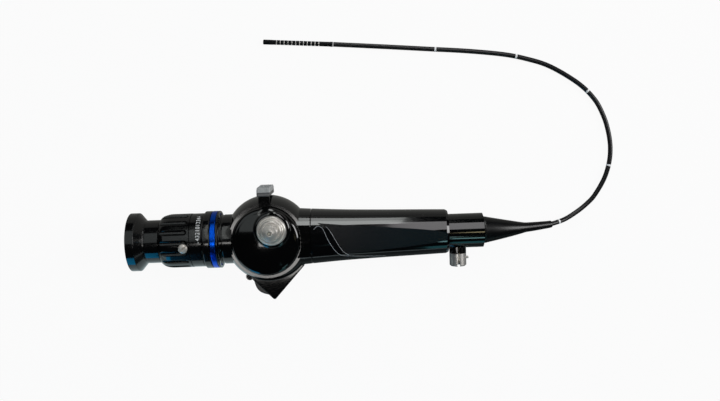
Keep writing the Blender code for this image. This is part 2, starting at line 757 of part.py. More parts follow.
def make_eyepiece_rings():
    pipe("scale_ring", SCALE_R, BORE_FIT_R, SCALE_X - SCALE_W, SCALE_X, BIG_STEPS, BODY_AXIS, "black_metal")
    outline = [
        (FLANGE_X - FLANGE_W, BORE_FIT_R),
        (FLANGE_X - FLANGE_W, FLANGE_R),
        (FLANGE_X, FLANGE_R),
        (FLANGE_X, FLANGE_STEP_R),
        (RETAINER_X, FLANGE_STEP_R),
        (RETAINER_X, BORE_FIT_R),
    ]
    turned("eyepiece_flange", outline, BIG_STEPS, BODY_AXIS, "black_metal", ring=True)
    bore = FLANGE_STEP_R + FIT
    pipe("blue_ring", FLANGE_R, bore, BLUE_X - BLUE_W, BLUE_X, BIG_STEPS, BODY_AXIS, "blue_ring")
    pipe(
        "retaining_ring",
        FLANGE_R,
        bore,
        RETAINER_X - RETAINER_W,
        RETAINER_X,
        BIG_STEPS,
        BODY_AXIS,
        "black_metal",
    )


def make_eyepiece_mount():
    seat = -MOUNT_SEAT - FIT
    groove = -MOUNT_FACE + MOUNT_GROOVE_INSET
    groove_r = MOUNT_R - MOUNT_GROOVE_DEPTH
    floor = BARREL_END_X + FIT
    outline = [
        (-MOUNT_FACE, BORE_FIT_R),
        (-MOUNT_FACE, MOUNT_R),
        (groove, MOUNT_R),
        (groove, groove_r),
        (groove + MOUNT_GROOVE_W, groove_r),
        (groove + MOUNT_GROOVE_W, MOUNT_R),
        (seat, MOUNT_R),
        (seat, MOUNT_SPIGOT_R),
        (seat + MOUNT_SPIGOT, MOUNT_SPIGOT_R),
        (seat + MOUNT_SPIGOT, IMAGE_BUNDLE_R + FIT),
        (floor, IMAGE_BUNDLE_R + FIT),
        (floor, BORE_FIT_R),
    ]
    turned("eyepiece_mount", outline, BIG_STEPS, BODY_AXIS, "black_metal", ring=True)


def ball_outline(grown):
    """The ball's side as (height, radius) points from its rear flat to its front land."""
    radius = BALL_R + grown
    low = math.asin((REAR_Z - grown) / radius)
    high = math.asin((LAND_Z + grown) / radius)
    angles = [low + (high - low) * i / BALL_STEPS for i in range(BALL_STEPS + 1)]
    return [(radius * math.sin(a), radius * math.cos(a)) for a in angles]


def neck_solid(grown):
    """The stub that carries the grip, tapering like the grip from the ball to the seam."""
    outline = [
        (NECK_START, 0),
        (NECK_START, NECK_R + grown),
        (NECK_END + grown, GRIP_R + grown),
        (NECK_END + grown, 0),
    ]
    return turned("neck", outline, BIG_STEPS, BODY_AXIS)


def make_ball_housing():
    outline = ball_outline(0)
    outline += [
        (LAND_Z, CAVITY_R),
        (CAVITY_FLOOR_Z, CAVITY_R),
        (CAVITY_FLOOR_Z, REAR_LEDGE_R),
        (REAR_LEDGE_Z, REAR_LEDGE_R),
        (REAR_LEDGE_Z, REAR_COVER_R + FIT),
        (REAR_Z, REAR_COVER_R + FIT),
    ]
    ball = turned("ball_housing", outline, BIG_STEPS, PIVOT, "black_metal", ring=True)
    fuse(ball, neck_solid(0))
    socket_x = NECK_END - NECK_SOCKET
    inside = CAVITY_R - CUT_THROUGH * 2
    cut(
        ball,
        rod("cover_room", COVER_R + FIT, LAND_Z, LAND_Z + NECK_R, BIG_STEPS, PIVOT),
        rod("bore", NECK_BORE_R, inside, NECK_END + CUT_THROUGH, ROUND_STEPS, BODY_AXIS),
        rod("socket", GRIP_SPIGOT_R + FIT, socket_x, NECK_END + CUT_THROUGH, BIG_STEPS, BODY_AXIS),
        rod("pocket", MOUNT_R + FIT, -BALL_R - CUT_THROUGH, -MOUNT_SEAT, BIG_STEPS, BODY_AXIS),
        rod("wall_hole", MOUNT_SPIGOT_R + FIT, -MOUNT_SEAT - CUT_THROUGH, -inside, ROUND_STEPS, BODY_AXIS),
    )
    boss_low = -REST_SCREW_LENGTH
    cut(ball, rod("rest_boss_room", REST_BOSS_R + FIT, boss_low, REST_T, SMALL_STEPS, at_rest_boss()))


def under_ball(point):
    """A point of the finger rest, given from the ball's lowest point in the plane of the body."""
    return Vector((point[0], point[1] - BALL_R))


def at_rest_boss():
    return PIVOT @ Matrix.Translation((*under_ball(REST_BOSS), 0))


def make_rear_cover():
    """The disc that closes the ball from behind, let in flush, and the screws that hold it."""
    low = REAR_Z
    cover = rod("rear_cover", REAR_COVER_R, low, low + REAR_COVER_T, BIG_STEPS, PIVOT, "black_metal")
    for i in range(COVER_SCREWS):
        frame = PIVOT @ Matrix.Rotation(math.tau * i / COVER_SCREWS, 4, "Z")
        frame = frame @ Matrix.Translation((COVER_SCREW_CIRCLE_R, 0, 0))
        floor = low + COVER_SCREW_HEAD + FIT
        cut(
            cover,
            rod("sink", COVER_SCREW_R + FIT, low - CUT_THROUGH, floor, SMALL_STEPS, frame),
            rod("hole", COVER_SCREW_SHANK_R + FIT, low, 0, TINY_STEPS, frame),
        )
        outline = [
            (low, 0),
            (low, COVER_SCREW_R),
            (low + COVER_SCREW_HEAD, COVER_SCREW_R),
            (low + COVER_SCREW_HEAD, COVER_SCREW_SHANK_R),
            (low + COVER_SCREW_LENGTH, COVER_SCREW_SHANK_R),
            (low + COVER_SCREW_LENGTH, 0),
        ]
        screw = turned("cover_screw_%d" % (i + 1), outline, SMALL_STEPS, frame, "steel")
        slot_reach = COVER_SCREW_R + CUT_THROUGH
        slot = box(
            "slot_cutter",
            (-slot_reach, -SLOT_W / 2, low - CUT_THROUGH),
            (slot_reach, SLOT_W / 2, low + SLOT_DEPTH / 2),
            frame,
        )
        cut(screw, slot)


def dome_outline(grown):
    """The front cover's outside as (height, radius) points, from its rim to the middle of its dome."""
    edge_r = COVER_R - COVER_EDGE
    edge_z = COVER_RIM_Z + COVER_EDGE
    sagitta = COVER_TOP_Z - edge_z
    sphere_r = (edge_r**2 + sagitta**2) / (2 * sagitta)
    centre_z = COVER_TOP_Z - sphere_r
    radii = [edge_r * (1 - i / DOME_STEPS) for i in range(DOME_STEPS + 1)]
    dome = [(centre_z + math.sqrt(sphere_r**2 - r**2) + grown, r) for r in radii]
    return [(COVER_RIM_Z, COVER_R + grown)] + dome


def lever_window():
    """A sector that the arm swings through, open at the cover's foot."""
    inner = COVER_R - COVER_WALL - CUT_THROUGH
    outer = COVER_R + CUT_THROUGH
    start = math.pi / 2 - WINDOW_SWEEP
    stop = math.pi / 2 + WINDOW_SWEEP
    outline = arc((0, 0), outer, start, stop, HUB_STEPS) + arc((0, 0), inner, stop, start, HUB_STEPS)
    return prism("window", outline, COVER_Z - CUT_THROUGH / 2, COVER_ROOF_RIM_Z, PIVOT)


def make_front_cover():
    bore = COVER_R - COVER_WALL
    outline = [(COVER_Z, COVER_R)] + dome_outline(0)
    outline += [
        (COVER_ROOF_TOP_Z, 0),
        (COVER_ROOF_Z, COVER_ROOF_R),
        (COVER_ROOF_RIM_Z, bore),
        (COVER_Z, bore),
    ]
    cover = turned("front_cover", outline, BIG_STEPS, PIVOT, "black_metal", ring=True)
    hole = rod("post_hole", POST_HOLE_R, LAND_Z, COVER_TOP_Z + CUT_THROUGH, ROUND_STEPS, POST)
    cut(cover, lever_window(), hole)


def make_light_post():
    """A black boss that fits the dome, and the stepped post that takes the light cable."""
    outline = [
        (LAND_Z, POST_BOSS_BORE_R),
        (LAND_Z, POST_BOSS_R),
        (POST_BOSS_TOP_Z - POST_BOSS_EDGE, POST_BOSS_R),
        (POST_BOSS_TOP_Z, POST_BOSS_R - POST_BOSS_EDGE),
        (POST_BOSS_TOP_Z, POST_BOSS_BORE_R),
    ]
    boss = turned("light_post_boss", outline, ROUND_STEPS, POST, "black_metal", ring=True)
    dome = [(0, 0), (0, COVER_R + FIT)] + dome_outline(FIT)
    cut(boss, turned("dome", dome, BIG_STEPS, PIVOT))
    bore = LIGHT_BUNDLE_R + FIT
    outline = [
        (POST_Z, bore),
        (POST_Z, POST_RING_R),
        (POST_SEAT_Z - POST_EDGE, POST_RING_R),
        (POST_SEAT_Z, POST_RING_R - POST_EDGE),
        (POST_SEAT_Z, POST_SEAT_R),
        (POST_NECK_Z - POST_EDGE, POST_SEAT_R),
        (POST_NECK_Z, POST_SEAT_R - POST_EDGE),
        (POST_NECK_Z, POST_NECK_R),
        (POST_CONE_Z, POST_NECK_R),
        (POST_TIP_Z, POST_TIP_R),
        (POST_TOP_Z, POST_TIP_R),
        (POST_TOP_Z, bore),
    ]
    turned("light_post", outline, ROUND_STEPS, POST, "nickel", ring=True)


def make_lever():
    """Arm, thumb pad, axle, drum and nut: all turn together on the pivot."""
    half = ARM_W / 2
    tenon = TENON_W / 2
    meet = math.acos(half / ARM_HUB_R)
    outline = [(half, ARM_REACH), (tenon, ARM_REACH), (tenon, TENON_REACH)]
    outline += [(-tenon, TENON_REACH), (-tenon, ARM_REACH), (-half, ARM_REACH)]
    outline += arc((0, 0), ARM_HUB_R, math.pi - meet, math.tau + meet, HUB_STEPS)
    arm = prism("lever_arm", outline, ARM_Z, ARM_TOP_Z, PIVOT, "black_metal")
    cut(arm, rod("bore", AXLE_R + FIT, ARM_Z - CUT_THROUGH, ARM_TOP_Z + CUT_THROUGH, SMALL_STEPS, PIVOT))
    nut_z = ARM_TOP_Z + FIT
    nut_top = nut_z + HUB_NUT_H
    pipe("hub_nut", HUB_NUT_R, AXLE_R + FIT, nut_z, nut_top, NUT_SIDES, PIVOT, "steel")
    collar_top = ARM_Z - FIT
    collar_low = collar_top - AXLE_COLLAR_H
    outline = [
        (CHASSIS_LOW_Z, 0),
        (CHASSIS_LOW_Z, AXLE_R),
        (collar_low, AXLE_R),
        (collar_low, AXLE_COLLAR_R),
        (collar_top, AXLE_COLLAR_R),
        (collar_top, AXLE_R),
        (nut_top, AXLE_R),
        (nut_top, 0),
    ]
    turned("pivot_axle", outline, SMALL_STEPS, PIVOT, "steel")
    low, high = DRUM_Z - DRUM_H / 2, DRUM_Z + DRUM_H / 2
    groove_low, groove_high = DRUM_Z - DRUM_GROOVE_W / 2, DRUM_Z + DRUM_GROOVE_W / 2
    outline = [
        (low, AXLE_R + FIT),
        (low, DRUM_R),
        (groove_low, DRUM_R),
        (groove_low, DRUM_GROOVE_R),
        (groove_high, DRUM_GROOVE_R),
        (groove_high, DRUM_R),
        (high, DRUM_R),
        (high, AXLE_R + FIT),
    ]
    turned("wire_drum", outline, ROUND_STEPS, PIVOT, "brass", ring=True)
    make_thumb_pad()


def make_thumb_pad():
    """A block on the arm's tenon, with a crowned outer face of fine teeth that run up and down."""
    half = PAD_W / 2
    side_y = PAD_IN + PAD_SIDE
    outline = [(half, PAD_IN), (half, side_y)]
    points = 2 * PAD_TEETH
    for i in range(1, points):
        x = half - PAD_W * i / points
        crown = side_y + PAD_CROWN * (1 - (x / half) ** 2)
        outline.append((x, crown if i % 2 else crown - PAD_TOOTH))
    outline += [(-half, side_y), (-half, PAD_IN)]
    pad = prism("thumb_pad", outline, PAD_LOW_Z, PAD_HIGH_Z, PIVOT, "black_rubber")
    half_slot = TENON_W / 2 + FIT
    slot = box(
        "tenon_slot",
        (-half_slot, PAD_IN - CUT_THROUGH, ARM_Z - FIT),
        (half_slot, TENON_REACH + FIT, ARM_TOP_Z + FIT),
        PIVOT,
    )
    cut(pad, slot)


def make_chassis():
    """A frame across the ball's cavity whose two plates carry the axle above and below the drum."""
    reach = CAVITY_R - FIT
    frame = box(
        "chassis",
        (-CAVITY_R, CHASSIS_LOW_Z, -CHASSIS_W / 2),
        (CAVITY_R, CHASSIS_HIGH_Z, CHASSIS_W / 2),
        ALONG_X,
        "steel",
    )
    window = box(
        "window",
        (-CHASSIS_WINDOW, CHASSIS_LOW_Z + CHASSIS_PLATE, -CHASSIS_W),
        (CHASSIS_WINDOW, CHASSIS_HIGH_Z - CHASSIS_PLATE, CHASSIS_W),
        ALONG_X,
    )
    cut(frame, window)
    combine(frame, rod("limit", reach, 0, LAND_Z, BIG_STEPS, PIVOT), "INTERSECT")
    cut(frame, rod("axle_hole", AXLE_R + FIT, 0, LAND_Z, SMALL_STEPS, PIVOT))


def make_finger_rest():
    """The fin under the ball: a thick plate with a cushion let into the edge that the finger pulls on."""
    base, apex, heel, root = [under_ball(point) for point in (REST_BASE, REST_APEX, REST_HEEL, REST_ROOT)]
    edge = (apex - base).normalized()
    back = (heel - apex).normalized()
    tip_from = apex - edge * REST_APEX_R
    tip_to = apex + back * REST_APEX_R
    tip_mid = (tip_from + tip_to + apex) / 3
    outline = [base, tip_from, tip_mid, tip_to, heel, root]
    half = REST_T / 2
    rest = prism("finger_rest", outline, -half, half, PIVOT, "black_plastic", bevel=REST_BEVEL)
    boss = rod("boss", REST_BOSS_R, -half + REST_BEVEL, half, SMALL_STEPS, at_rest_boss())
    fuse(rest, boss)
    ball = turned("ball", [(-BALL_R, 0)] + ball_outline(FIT) + [(BALL_R, 0)], BIG_STEPS, PIVOT)
    screw_room = half - REST_SCREW_HEAD - FIT
    shank = REST_SCREW_R / 2
    out = half + CUT_THROUGH
    cut(
        rest,
        ball,
        neck_solid(FIT),
        rod("screw_sink", REST_SCREW_R + FIT, screw_room, out, SMALL_STEPS, at_rest_boss()),
        rod("screw_hole", shank + FIT, half - REST_SCREW_LENGTH, out, TINY_STEPS, at_rest_boss()),
    )
    low = half - REST_SCREW_LENGTH + FIT
    outline = [
        (low, 0),
        (low, shank),
        (half - REST_SCREW_HEAD, shank),
        (half - REST_SCREW_HEAD, REST_SCREW_R),
        (half, REST_SCREW_R),
        (half, 0),
    ]
    turned("rest_screw", outline, SMALL_STEPS, at_rest_boss(), "black_metal")
    along = Matrix.Translation((base.x, base.y, 0)) @ Matrix.Rotation(math.atan2(edge.y, edge.x), 4, "Z")
    seat = PIVOT @ along
    cut(rest, cushion("seat", FIT, seat))
    cushion("finger_rest_pad", 0, seat, "black_rubber")


def cushion(name, grown, frame, look=None):
    """A lens-shaped pad along the edge, sunk a little into it; grown, it cuts its own seat."""
    start, stop = REST_PAD_FROM - grown, REST_PAD_FROM + REST_PAD_LENGTH + grown
    steps = [i / REST_PAD_STEPS for i in range(REST_PAD_STEPS + 1)]
    bulge = [(start + (stop - start) * t, -REST_PAD_BULGE * math.sin(math.pi * t)) for t in steps]
    depth = REST_PAD_DEPTH + grown
    outline = bulge + [(stop, depth), (start, depth)]
    half = REST_PAD_T / 2 + grown
    return prism(name, outline, -half, half, frame, look)


def make_grip():
    spigot_x = GRIP_START - GRIP_SPIGOT
    end_x = GRIP_START + GRIP_LENGTH
    groove = GRIP_START - SEAL_INSET - SEAL_W
    groove_r = GRIP_SPIGOT_R - SEAL_DEPTH - FIT
    side = [(GRIP_START + at, radius) for at, radius in GRIP_WAIST]
    outline = [
        (spigot_x, GRIP_BORE_R),
        (spigot_x, GRIP_SPIGOT_R),
        (groove - FIT, GRIP_SPIGOT_R),
        (groove - FIT, groove_r),
        (groove + SEAL_W + FIT, groove_r),
        (groove + SEAL_W + FIT, GRIP_SPIGOT_R),
        (GRIP_START, GRIP_SPIGOT_R),
        (GRIP_START, GRIP_R),
        *side,
        (end_x - GRIP_EDGE, GRIP_END_R),
        (end_x, GRIP_END_R - GRIP_EDGE / 2),
        (end_x, COLLAR_SPIGOT_R + FIT),
        (end_x - GRIP_END_WALL, COLLAR_SPIGOT_R + FIT),
        (end_x - GRIP_END_WALL, GRIP_BORE_R),
    ]
    grip = turned("grip_shell", outline, BIG_STEPS, BODY_AXIS, "black_plastic", ring=True)
    for side in (1, -1):
        cut(grip, scoop_cutter(side))
    seal_r = groove_r + FIT
    pipe("grip_seal", GRIP_SPIGOT_R, seal_r, groove, groove + SEAL_W, BIG_STEPS, BODY_AXIS, "black_rubber")


def scoop_cutter(side):
    """A flat with a slanting S-shaped end, whose end wall leans back; side is +1 in front and -1 behind."""
    shape = bmesh.new()
    rings = []
    end_x = COLLAR_X + CUT_THROUGH
    for height, slope in ((SCOOP_FLOOR, SCOOP_SLOPE), (SCOOP_TOP, -SCOOP_SLOPE)):
        curve = []
        for i in range(SCOOP_STEPS + 1):
            t = i / SCOOP_STEPS
            ease = t * t * (3 - 2 * t)
            x = SCOOP_NEAR + slope + (SCOOP_FAR - SCOOP_NEAR) * ease
            curve.append((x, SCOOP_HALF * (1 - 2 * t)))
        outline = curve + [(end_x, -SCOOP_HALF), (end_x, SCOOP_HALF)]
        rings.append([shape.verts.new((x, y, height)) for x, y in outline])
    bridge(shape, *rings)
    shape.faces.new(rings[0])
    shape.faces.new(rings[1])
    if side < 0:
        bmesh.ops.scale(shape, vec=(1, 1, -1), verts=shape.verts)
    frame = PIVOT @ Matrix.Rotation(side * SCOOP_ANGLE, 4, "X")
    return solid("scoop_cutter", shape, frame)


def make_collar():
    """Collar, its anchor for the tube inside, and the vent connector that points down the page."""
    shoulder_x = COLLAR_END_X - COLLAR_SHOULDER
    nose_x = COLLAR_END_X + COLLAR_NOSE
    outline = [
        (COLLAR_X - COLLAR_SPIGOT, COLLAR_BORE_R),
        (COLLAR_X - COLLAR_SPIGOT, COLLAR_SPIGOT_R),
        (COLLAR_X, COLLAR_SPIGOT_R),
        (COLLAR_X, COLLAR_R),
        (COLLAR_END_X, COLLAR_R),
        (COLLAR_END_X, COLLAR_NOSE_R),
        (nose_x, COLLAR_NOSE_R),
        (nose_x, COLLAR_NOSE_BORE_R),
        (shoulder_x, COLLAR_NOSE_BORE_R),
        (shoulder_x, COLLAR_BORE_R),
    ]
    collar = turned("distal_collar", outline, ROUND_STEPS, BODY_AXIS, "black_metal", ring=True)
    cut(collar, rod("port_hole", PORT_PIPE_R + FIT, COLLAR_BORE_R / 2, COLLAR_R * 2, SMALL_STEPS, PORT))
    nose_r = COLLAR_NOSE_BORE_R - FIT
    anchor_end = ANCHOR_X + ANCHOR_T
    outline = [
        (ANCHOR_X, 0),
        (ANCHOR_X, COLLAR_BORE_R - FIT),
        (anchor_end, COLLAR_BORE_R - FIT),
        (anchor_end, nose_r),
        (anchor_end + ANCHOR_NOSE, nose_r),
        (anchor_end + ANCHOR_NOSE, 0),
    ]
    turned("tube_anchor", outline, ROUND_STEPS, BODY_AXIS, "brass")


def make_vent():
    boss = rod("vent_stub", PORT_BOSS_R, COLLAR_BORE_R, PORT_BOSS_TOP, ROUND_STEPS, PORT, "black_metal")
    cut(boss, rod("collar", COLLAR_R + FIT, COLLAR_X, COLLAR_END_X, ROUND_STEPS, BODY_AXIS))
    fuse(boss, rod("pipe", PORT_PIPE_R, PORT_PIPE_BOTTOM, PORT_PIPE_TOP, SMALL_STEPS, PORT))
    cut(boss, rod("bore", PORT_PIPE_BORE_R, 0, VENT_END, SMALL_STEPS, PORT))
    bore = PORT_PIPE_R + FIT
    outline = [
        (VENT_START, bore),
        (VENT_START, VENT_R),
        (VENT_END - VENT_EDGE, VENT_R),
        (VENT_END, VENT_R - VENT_EDGE),
        (VENT_END, bore),
    ]
    sleeve = turned("vent_sleeve", outline, ROUND_STEPS, PORT, "nickel", ring=True)
    for i in range(VENT_SLOTS):
        frame = PORT @ Matrix.Rotation(math.pi / 2 + math.tau * i / VENT_SLOTS, 4, "Z")
        slot = box(
            "slot",
            (bore - CUT_THROUGH / 2, -VENT_SLOT_W / 2, VENT_END - VENT_SLOT_LENGTH),
            (VENT_R + CUT_THROUGH, VENT_SLOT_W / 2, VENT_END + CUT_THROUGH),
            frame,
        )
        cut(sleeve, slot)
    across = PORT @ Matrix.Translation((0, 0, VENT_START + PIN_HEIGHT)) @ Matrix.Rotation(math.pi / 2, 4, "Y")
    cut(sleeve, rod("pin_hole", PIN_R + FIT, 0, VENT_R * 2, TINY_STEPS, across))
    pin_root = PORT_PIPE_R + FIT * 2
    rod("bayonet_pin", PIN_R, pin_root, VENT_R + PIN_OUT, TINY_STEPS, across, "nickel")
    top = VENT_END - PLUNGER_RECESS
    head = top - PLUNGER_H
    outline = [
        (PLUNGER_STEM_BOTTOM, 0),
        (PLUNGER_STEM_BOTTOM, PLUNGER_STEM_R),
        (head, PLUNGER_STEM_R),
        (head, PLUNGER_R),
        (top, PLUNGER_R),
        (top, 0),
    ]
    turned("vent_plunger", outline, SMALL_STEPS, PORT, "steel")


def make_inner_runs():
    """What runs from the eyepiece and the ball to the collar: two bundles, two wires and their coil pipes."""
    run_end = RUN_END_X
    face = BUNDLE_WEB_X - IMAGE_FACE_INSET
    rod("image_bundle", IMAGE_BUNDLE_R, face, run_end, BUNDLE_STEPS, BODY_AXIS, "fibre")
    light_points = [(POST_X, POST_Y, POST_TOP_Z), (POST_X, POST_Y, POST_BOSS_TOP_Z + LIGHT_BUNDLE_R)]
    light_points += [Vector(point) * MM for point in LIGHT_BENDS]
    light_points += [(NECK_END, 0, LIGHT_RUN_Z), (run_end, 0, LIGHT_RUN_Z)]
    centres = [PIVOT @ Vector(point) for point in light_points]
    swept("light_bundle", centres, [LIGHT_BUNDLE_R] * len(centres), BUNDLE_STEPS, "fibre")
    for side, name in ((1, "left"), (-1, "right")):
        frame = BODY_AXIS @ Matrix.Translation((-DRUM_Z, side * WIRE_Y, 0))
        rod("pull_wire_" + name, WIRE_R, WIRE_START, WIRE_END, BUNDLE_STEPS, frame, "steel")
        centres = [Vector((PIPE_START, side * WIRE_Y, DRUM_Z))]
        bend_x = PIPE_START + PIPE_STRAIGHT
        for i in range(PIPE_STEPS + 1):
            t = i / PIPE_STEPS
            ease = t * t * (3 - 2 * t)
            x = bend_x + (run_end - bend_x) * t
            y = side * (WIRE_Y + (PIPE_END_Y - WIRE_Y) * ease)
            centres.append(Vector((x, y, DRUM_Z + (PIPE_END_Z - DRUM_Z) * ease)))
        centres = [PIVOT @ centre for centre in centres]
        count = len(centres)
        bores = [PIPE_BORE_R] * count
        swept("coil_pipe_" + name, centres, [PIPE_R] * count, BUNDLE_STEPS, "steel", bores)
    stay_end = PIPE_START - FIT
    stay = rod("stay_plate", GRIP_BORE_R - FIT, stay_end - STAY_T, stay_end, ROUND_STEPS, BODY_AXIS, "brass")
    for y, z, radius in (
        (WIRE_Y, DRUM_Z, WIRE_R),
        (-WIRE_Y, DRUM_Z, WIRE_R),
        (0, LIGHT_RUN_Z, LIGHT_BUNDLE_R),
        (0, 0, IMAGE_BUNDLE_R),
    ):
        frame = BODY_AXIS @ Matrix.Translation((-z, y, 0))
        hole_end = stay_end + CUT_THROUGH
        cut(stay, rod("hole", radius + FIT, stay_end - STAY_T * 2, hole_end, BUNDLE_STEPS, frame))


def smooth_route(points):
    """A Catmull-Rom curve through the points, as many short straight steps."""
    padded = [2 * points[0] - points[1], *points, 2 * points[-1] - points[-2]]
    curve = []
    for a, b, c, d in zip(padded, padded[1:], padded[2:], padded[3:]):
        square = 2 * a - 5 * b + 4 * c - d
        cube = 3 * (b - c) + d - a
        for i in range(ROUTE_STEPS):
            t = i / ROUTE_STEPS
            curve.append((2 * b + (c - a) * t + square * t**2 + cube * t**3) / 2)
    return curve + [points[-1]]


def walk(curve, distances):
    """The points of a curve at the given distances along it."""
    found = []
    travelled = 0.0
    wanted = list(distances)
    for a, b in zip(curve, curve[1:]):
        length = (b - a).length
        while wanted and wanted[0] <= travelled + length:
            found.append(a.lerp(b, (wanted.pop(0) - travelled) / length))
        travelled += length
    return found + [curve[-1]] * len(wanted)


def route_curve():
    """The route in metres, its first two points shifted to the boot's seat and the body's axis."""
    seat = Vector((BOOT_X, 0, AXIS_Z))
    points = [Vector(point) * MM for point in ROUTE]
    shift = seat - points[0]
    return smooth_route([seat, points[1] + shift, *points[2:]])


def make_boot(curve):
    """A rubber cone on the collar's nose that droops with the tube and thins to its mouth."""
    nose_room = COLLAR_NOSE + FIT
    shares = [i / BOOT_STEPS for i in range(BOOT_STEPS + 1)]
    at = sorted([share * BOOT_LENGTH for share in shares] + [nose_room - FIT, nose_room])
    radii = []
    bores = []
    for distance in at:
        if distance < BOOT_WAIST_AT:
            share = distance / BOOT_WAIST_AT
            radii.append(BOOT_R + (BOOT_WAIST_R - BOOT_R) * share)
        else:
            share = (distance - BOOT_WAIST_AT) / (BOOT_LENGTH - BOOT_WAIST_AT)
            radii.append(BOOT_WAIST_R + (BOOT_END_R - BOOT_WAIST_R) * share)
        wide = distance <= nose_room - FIT
        bores.append(COLLAR_NOSE_R + FIT if wide else TUBE_R + FIT)
    swept("strain_relief_boot", walk(curve, at), radii, BOOT_SIDES, "black_rubber", bores)


def make_insertion_tube(curve):
    length = sum((b - a).length for a, b in zip(curve, curve[1:]))
    start = ANCHOR_X + ANCHOR_T + ANCHOR_NOSE + TUBE_START_GAP - BOOT_X
    count = math.ceil((length - start) / TUBE_STEP)
    points = walk(curve, [start + (length - start) * i / count for i in range(count + 1)])
    data = bpy.data.curves.new("insertion_tube", "CURVE")
    data.dimensions = "3D"
    data.bevel_depth = TUBE_R
    data.bevel_resolution = 2
    data.use_fill_caps = True
    spline = data.splines.new("POLY")
    spline.points.add(len(points) - 1)
    for target, point in zip(spline.points, points):
        target.co = (*point, 1)
    data.materials.append(look_of("tube_black"))
    bpy.context.collection.objects.link(bpy.data.objects.new("insertion_tube", data))


def chain_frame(along):
    """A frame on the bending section whose +X runs to the tip and whose +Z is up."""
    start = Vector(ROUTE[-1]) * MM
    frame = Matrix.Translation(start) @ Matrix.Rotation(BENDING_HEADING, 4, "Z")
    return frame @ Matrix.Translation((along + FIT, 0, 0))


def along_chain(frame):
    """The same frame turned so that its +Z runs along the chain, for turned pieces."""
    return frame @ Matrix.Rotation(math.pi / 2, 4, "Y")


def ear(side, hinge, root, frame, height):
    """A flat ear with a round end at the hinge and a neck back to its rim, above (+1) or below (-1)."""
    low, high = sorted((side * height, side * (height + EAR_T)))
    toward = 1 if root > hinge else -1
    half = EAR_NECK_W / 2
    swing = math.asin(half / EAR_R)
    start = swing if toward > 0 else math.pi + swing
    outline = arc((hinge, 0), EAR_R, start, start + math.tau - 2 * swing, EAR_STEPS)
    outline += [(root, -toward * half), (root, toward * half)]
    return prism("ear", outline, low, high, frame)


def hinge_notch(at, frame):
    """Room for the neighbour's ears, cut through both sides of a rim."""
    there = frame @ Matrix.Translation((at, 0, 0))
    return rod("notch", EAR_R + FIT, -LINK_R * 2, LINK_R * 2, BUNDLE_STEPS, there)


def add_far_ears(piece, hinge, frame):
    """The pair of inner ears at a piece's far end, rooted in its rim."""
    root = hinge - EAR_R - FIT - EAR_ROOT
    cut(piece, hinge_notch(hinge, frame))
    for side in (1, -1):
        fuse(piece, ear(side, hinge, root, frame, EAR_IN_Z))


def add_near_ears(piece, frame):
    """The pair of outer ears at a piece's near end, which turns about the frame's origin."""
    root = EAR_R + FIT + EAR_ROOT
    cut(piece, hinge_notch(0, frame))
    for side in (1, -1):
        fuse(piece, ear(side, 0, root, frame, EAR_OUT_Z))


def link_mesh(half_gap):
    """One link: a rim notched at both ends, outer ears at its own hinge and inner ears at the next."""
    here = Matrix.Identity(4)
    rim_end = LINK_PITCH - half_gap
    link = pipe("link", LINK_R, LINK_BORE_R, half_gap, rim_end, TINY_STEPS, along_chain(here), "steel")
    link.data.transform(link.matrix_world)
    link.matrix_world = here
    add_near_ears(link, here)
    add_far_ears(link, LINK_PITCH, here)
    mesh = link.data
    bpy.data.objects.remove(link, do_unlink=True)
    return mesh


def make_bending_section():
    """Sleeve, links and tip: each link's outer ears ride on the inner ears of the one before it."""
    half_gap = LINK_GAP / 2
    frame = chain_frame(0)
    outline = [
        (0, LINK_BORE_R),
        (0, SLEEVE_R),
        (SLEEVE_RING, SLEEVE_R),
        (SLEEVE_RING, LINK_R),
        (SLEEVE_LENGTH - half_gap, LINK_R),
        (SLEEVE_LENGTH - half_gap, LINK_BORE_R),
    ]
    sleeve = turned("bending_sleeve", outline, SMALL_STEPS, along_chain(frame), "steel", ring=True)
    add_far_ears(sleeve, SLEEVE_LENGTH, frame)
    mesh = link_mesh(half_gap)
    for i in range(LINKS):
        link = bpy.data.objects.new("bending_link_%02d" % (i + 1), mesh)
        link.matrix_world = chain_frame(SLEEVE_LENGTH + LINK_PITCH * i)
        bpy.context.collection.objects.link(link)
    frame = chain_frame(SLEEVE_LENGTH + LINK_PITCH * LINKS)
    seat = TIP_LENGTH - OBJECTIVE_T - FIT
    outline = [
        (half_gap, 0),
        (half_gap, LINK_R),
        (LINK_PITCH, LINK_R),
        (LINK_PITCH, TIP_R),
        (TIP_LENGTH, TIP_R),
        (TIP_LENGTH, OBJECTIVE_R + FIT),
        (seat, OBJECTIVE_R + FIT),
        (seat, 0),
    ]
    tip = turned("distal_tip", outline, SMALL_STEPS, along_chain(frame), "black_metal")
    cut(tip, rod("bore", LINK_BORE_R, -LINK_PITCH, LINK_PITCH / 2, SMALL_STEPS, along_chain(frame)))
    add_near_ears(tip, frame)
    rod(
        "objective_lens",
        OBJECTIVE_R,
        seat + FIT,
        TIP_LENGTH,
        TINY_STEPS,
        along_chain(frame),
        "glass",
    )


def main():
    clear_scene()
    make_eyecup()
    make_barrel()
    make_lens_cell()
    make_diopter_ring()
    make_eyepiece_rings()
    make_eyepiece_mount()
    make_ball_housing()
    make_rear_cover()
    make_front_cover()
    make_light_post()
    make_lever()
    make_chassis()
    make_finger_rest()
    make_grip()
    make_collar()
    make_vent()
    make_inner_runs()
    curve = route_curve()
    make_boot(curve)
    make_insertion_tube(curve)
    make_bending_section()


main()
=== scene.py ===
# %% [markdown]
# A slim flexible endoscope lies on its side on a white table, seen from above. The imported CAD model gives
# every piece its place and its motion. This lesson dresses it: smooth turned surfaces in place of the
# faceted ones, bevelled edges that catch the light, and a finish for each material. Sizes are in
# millimetres where a cell says so, and everything in Blender is in metres.

# %% Blender, the frame and the CAD model's box
import json
import math

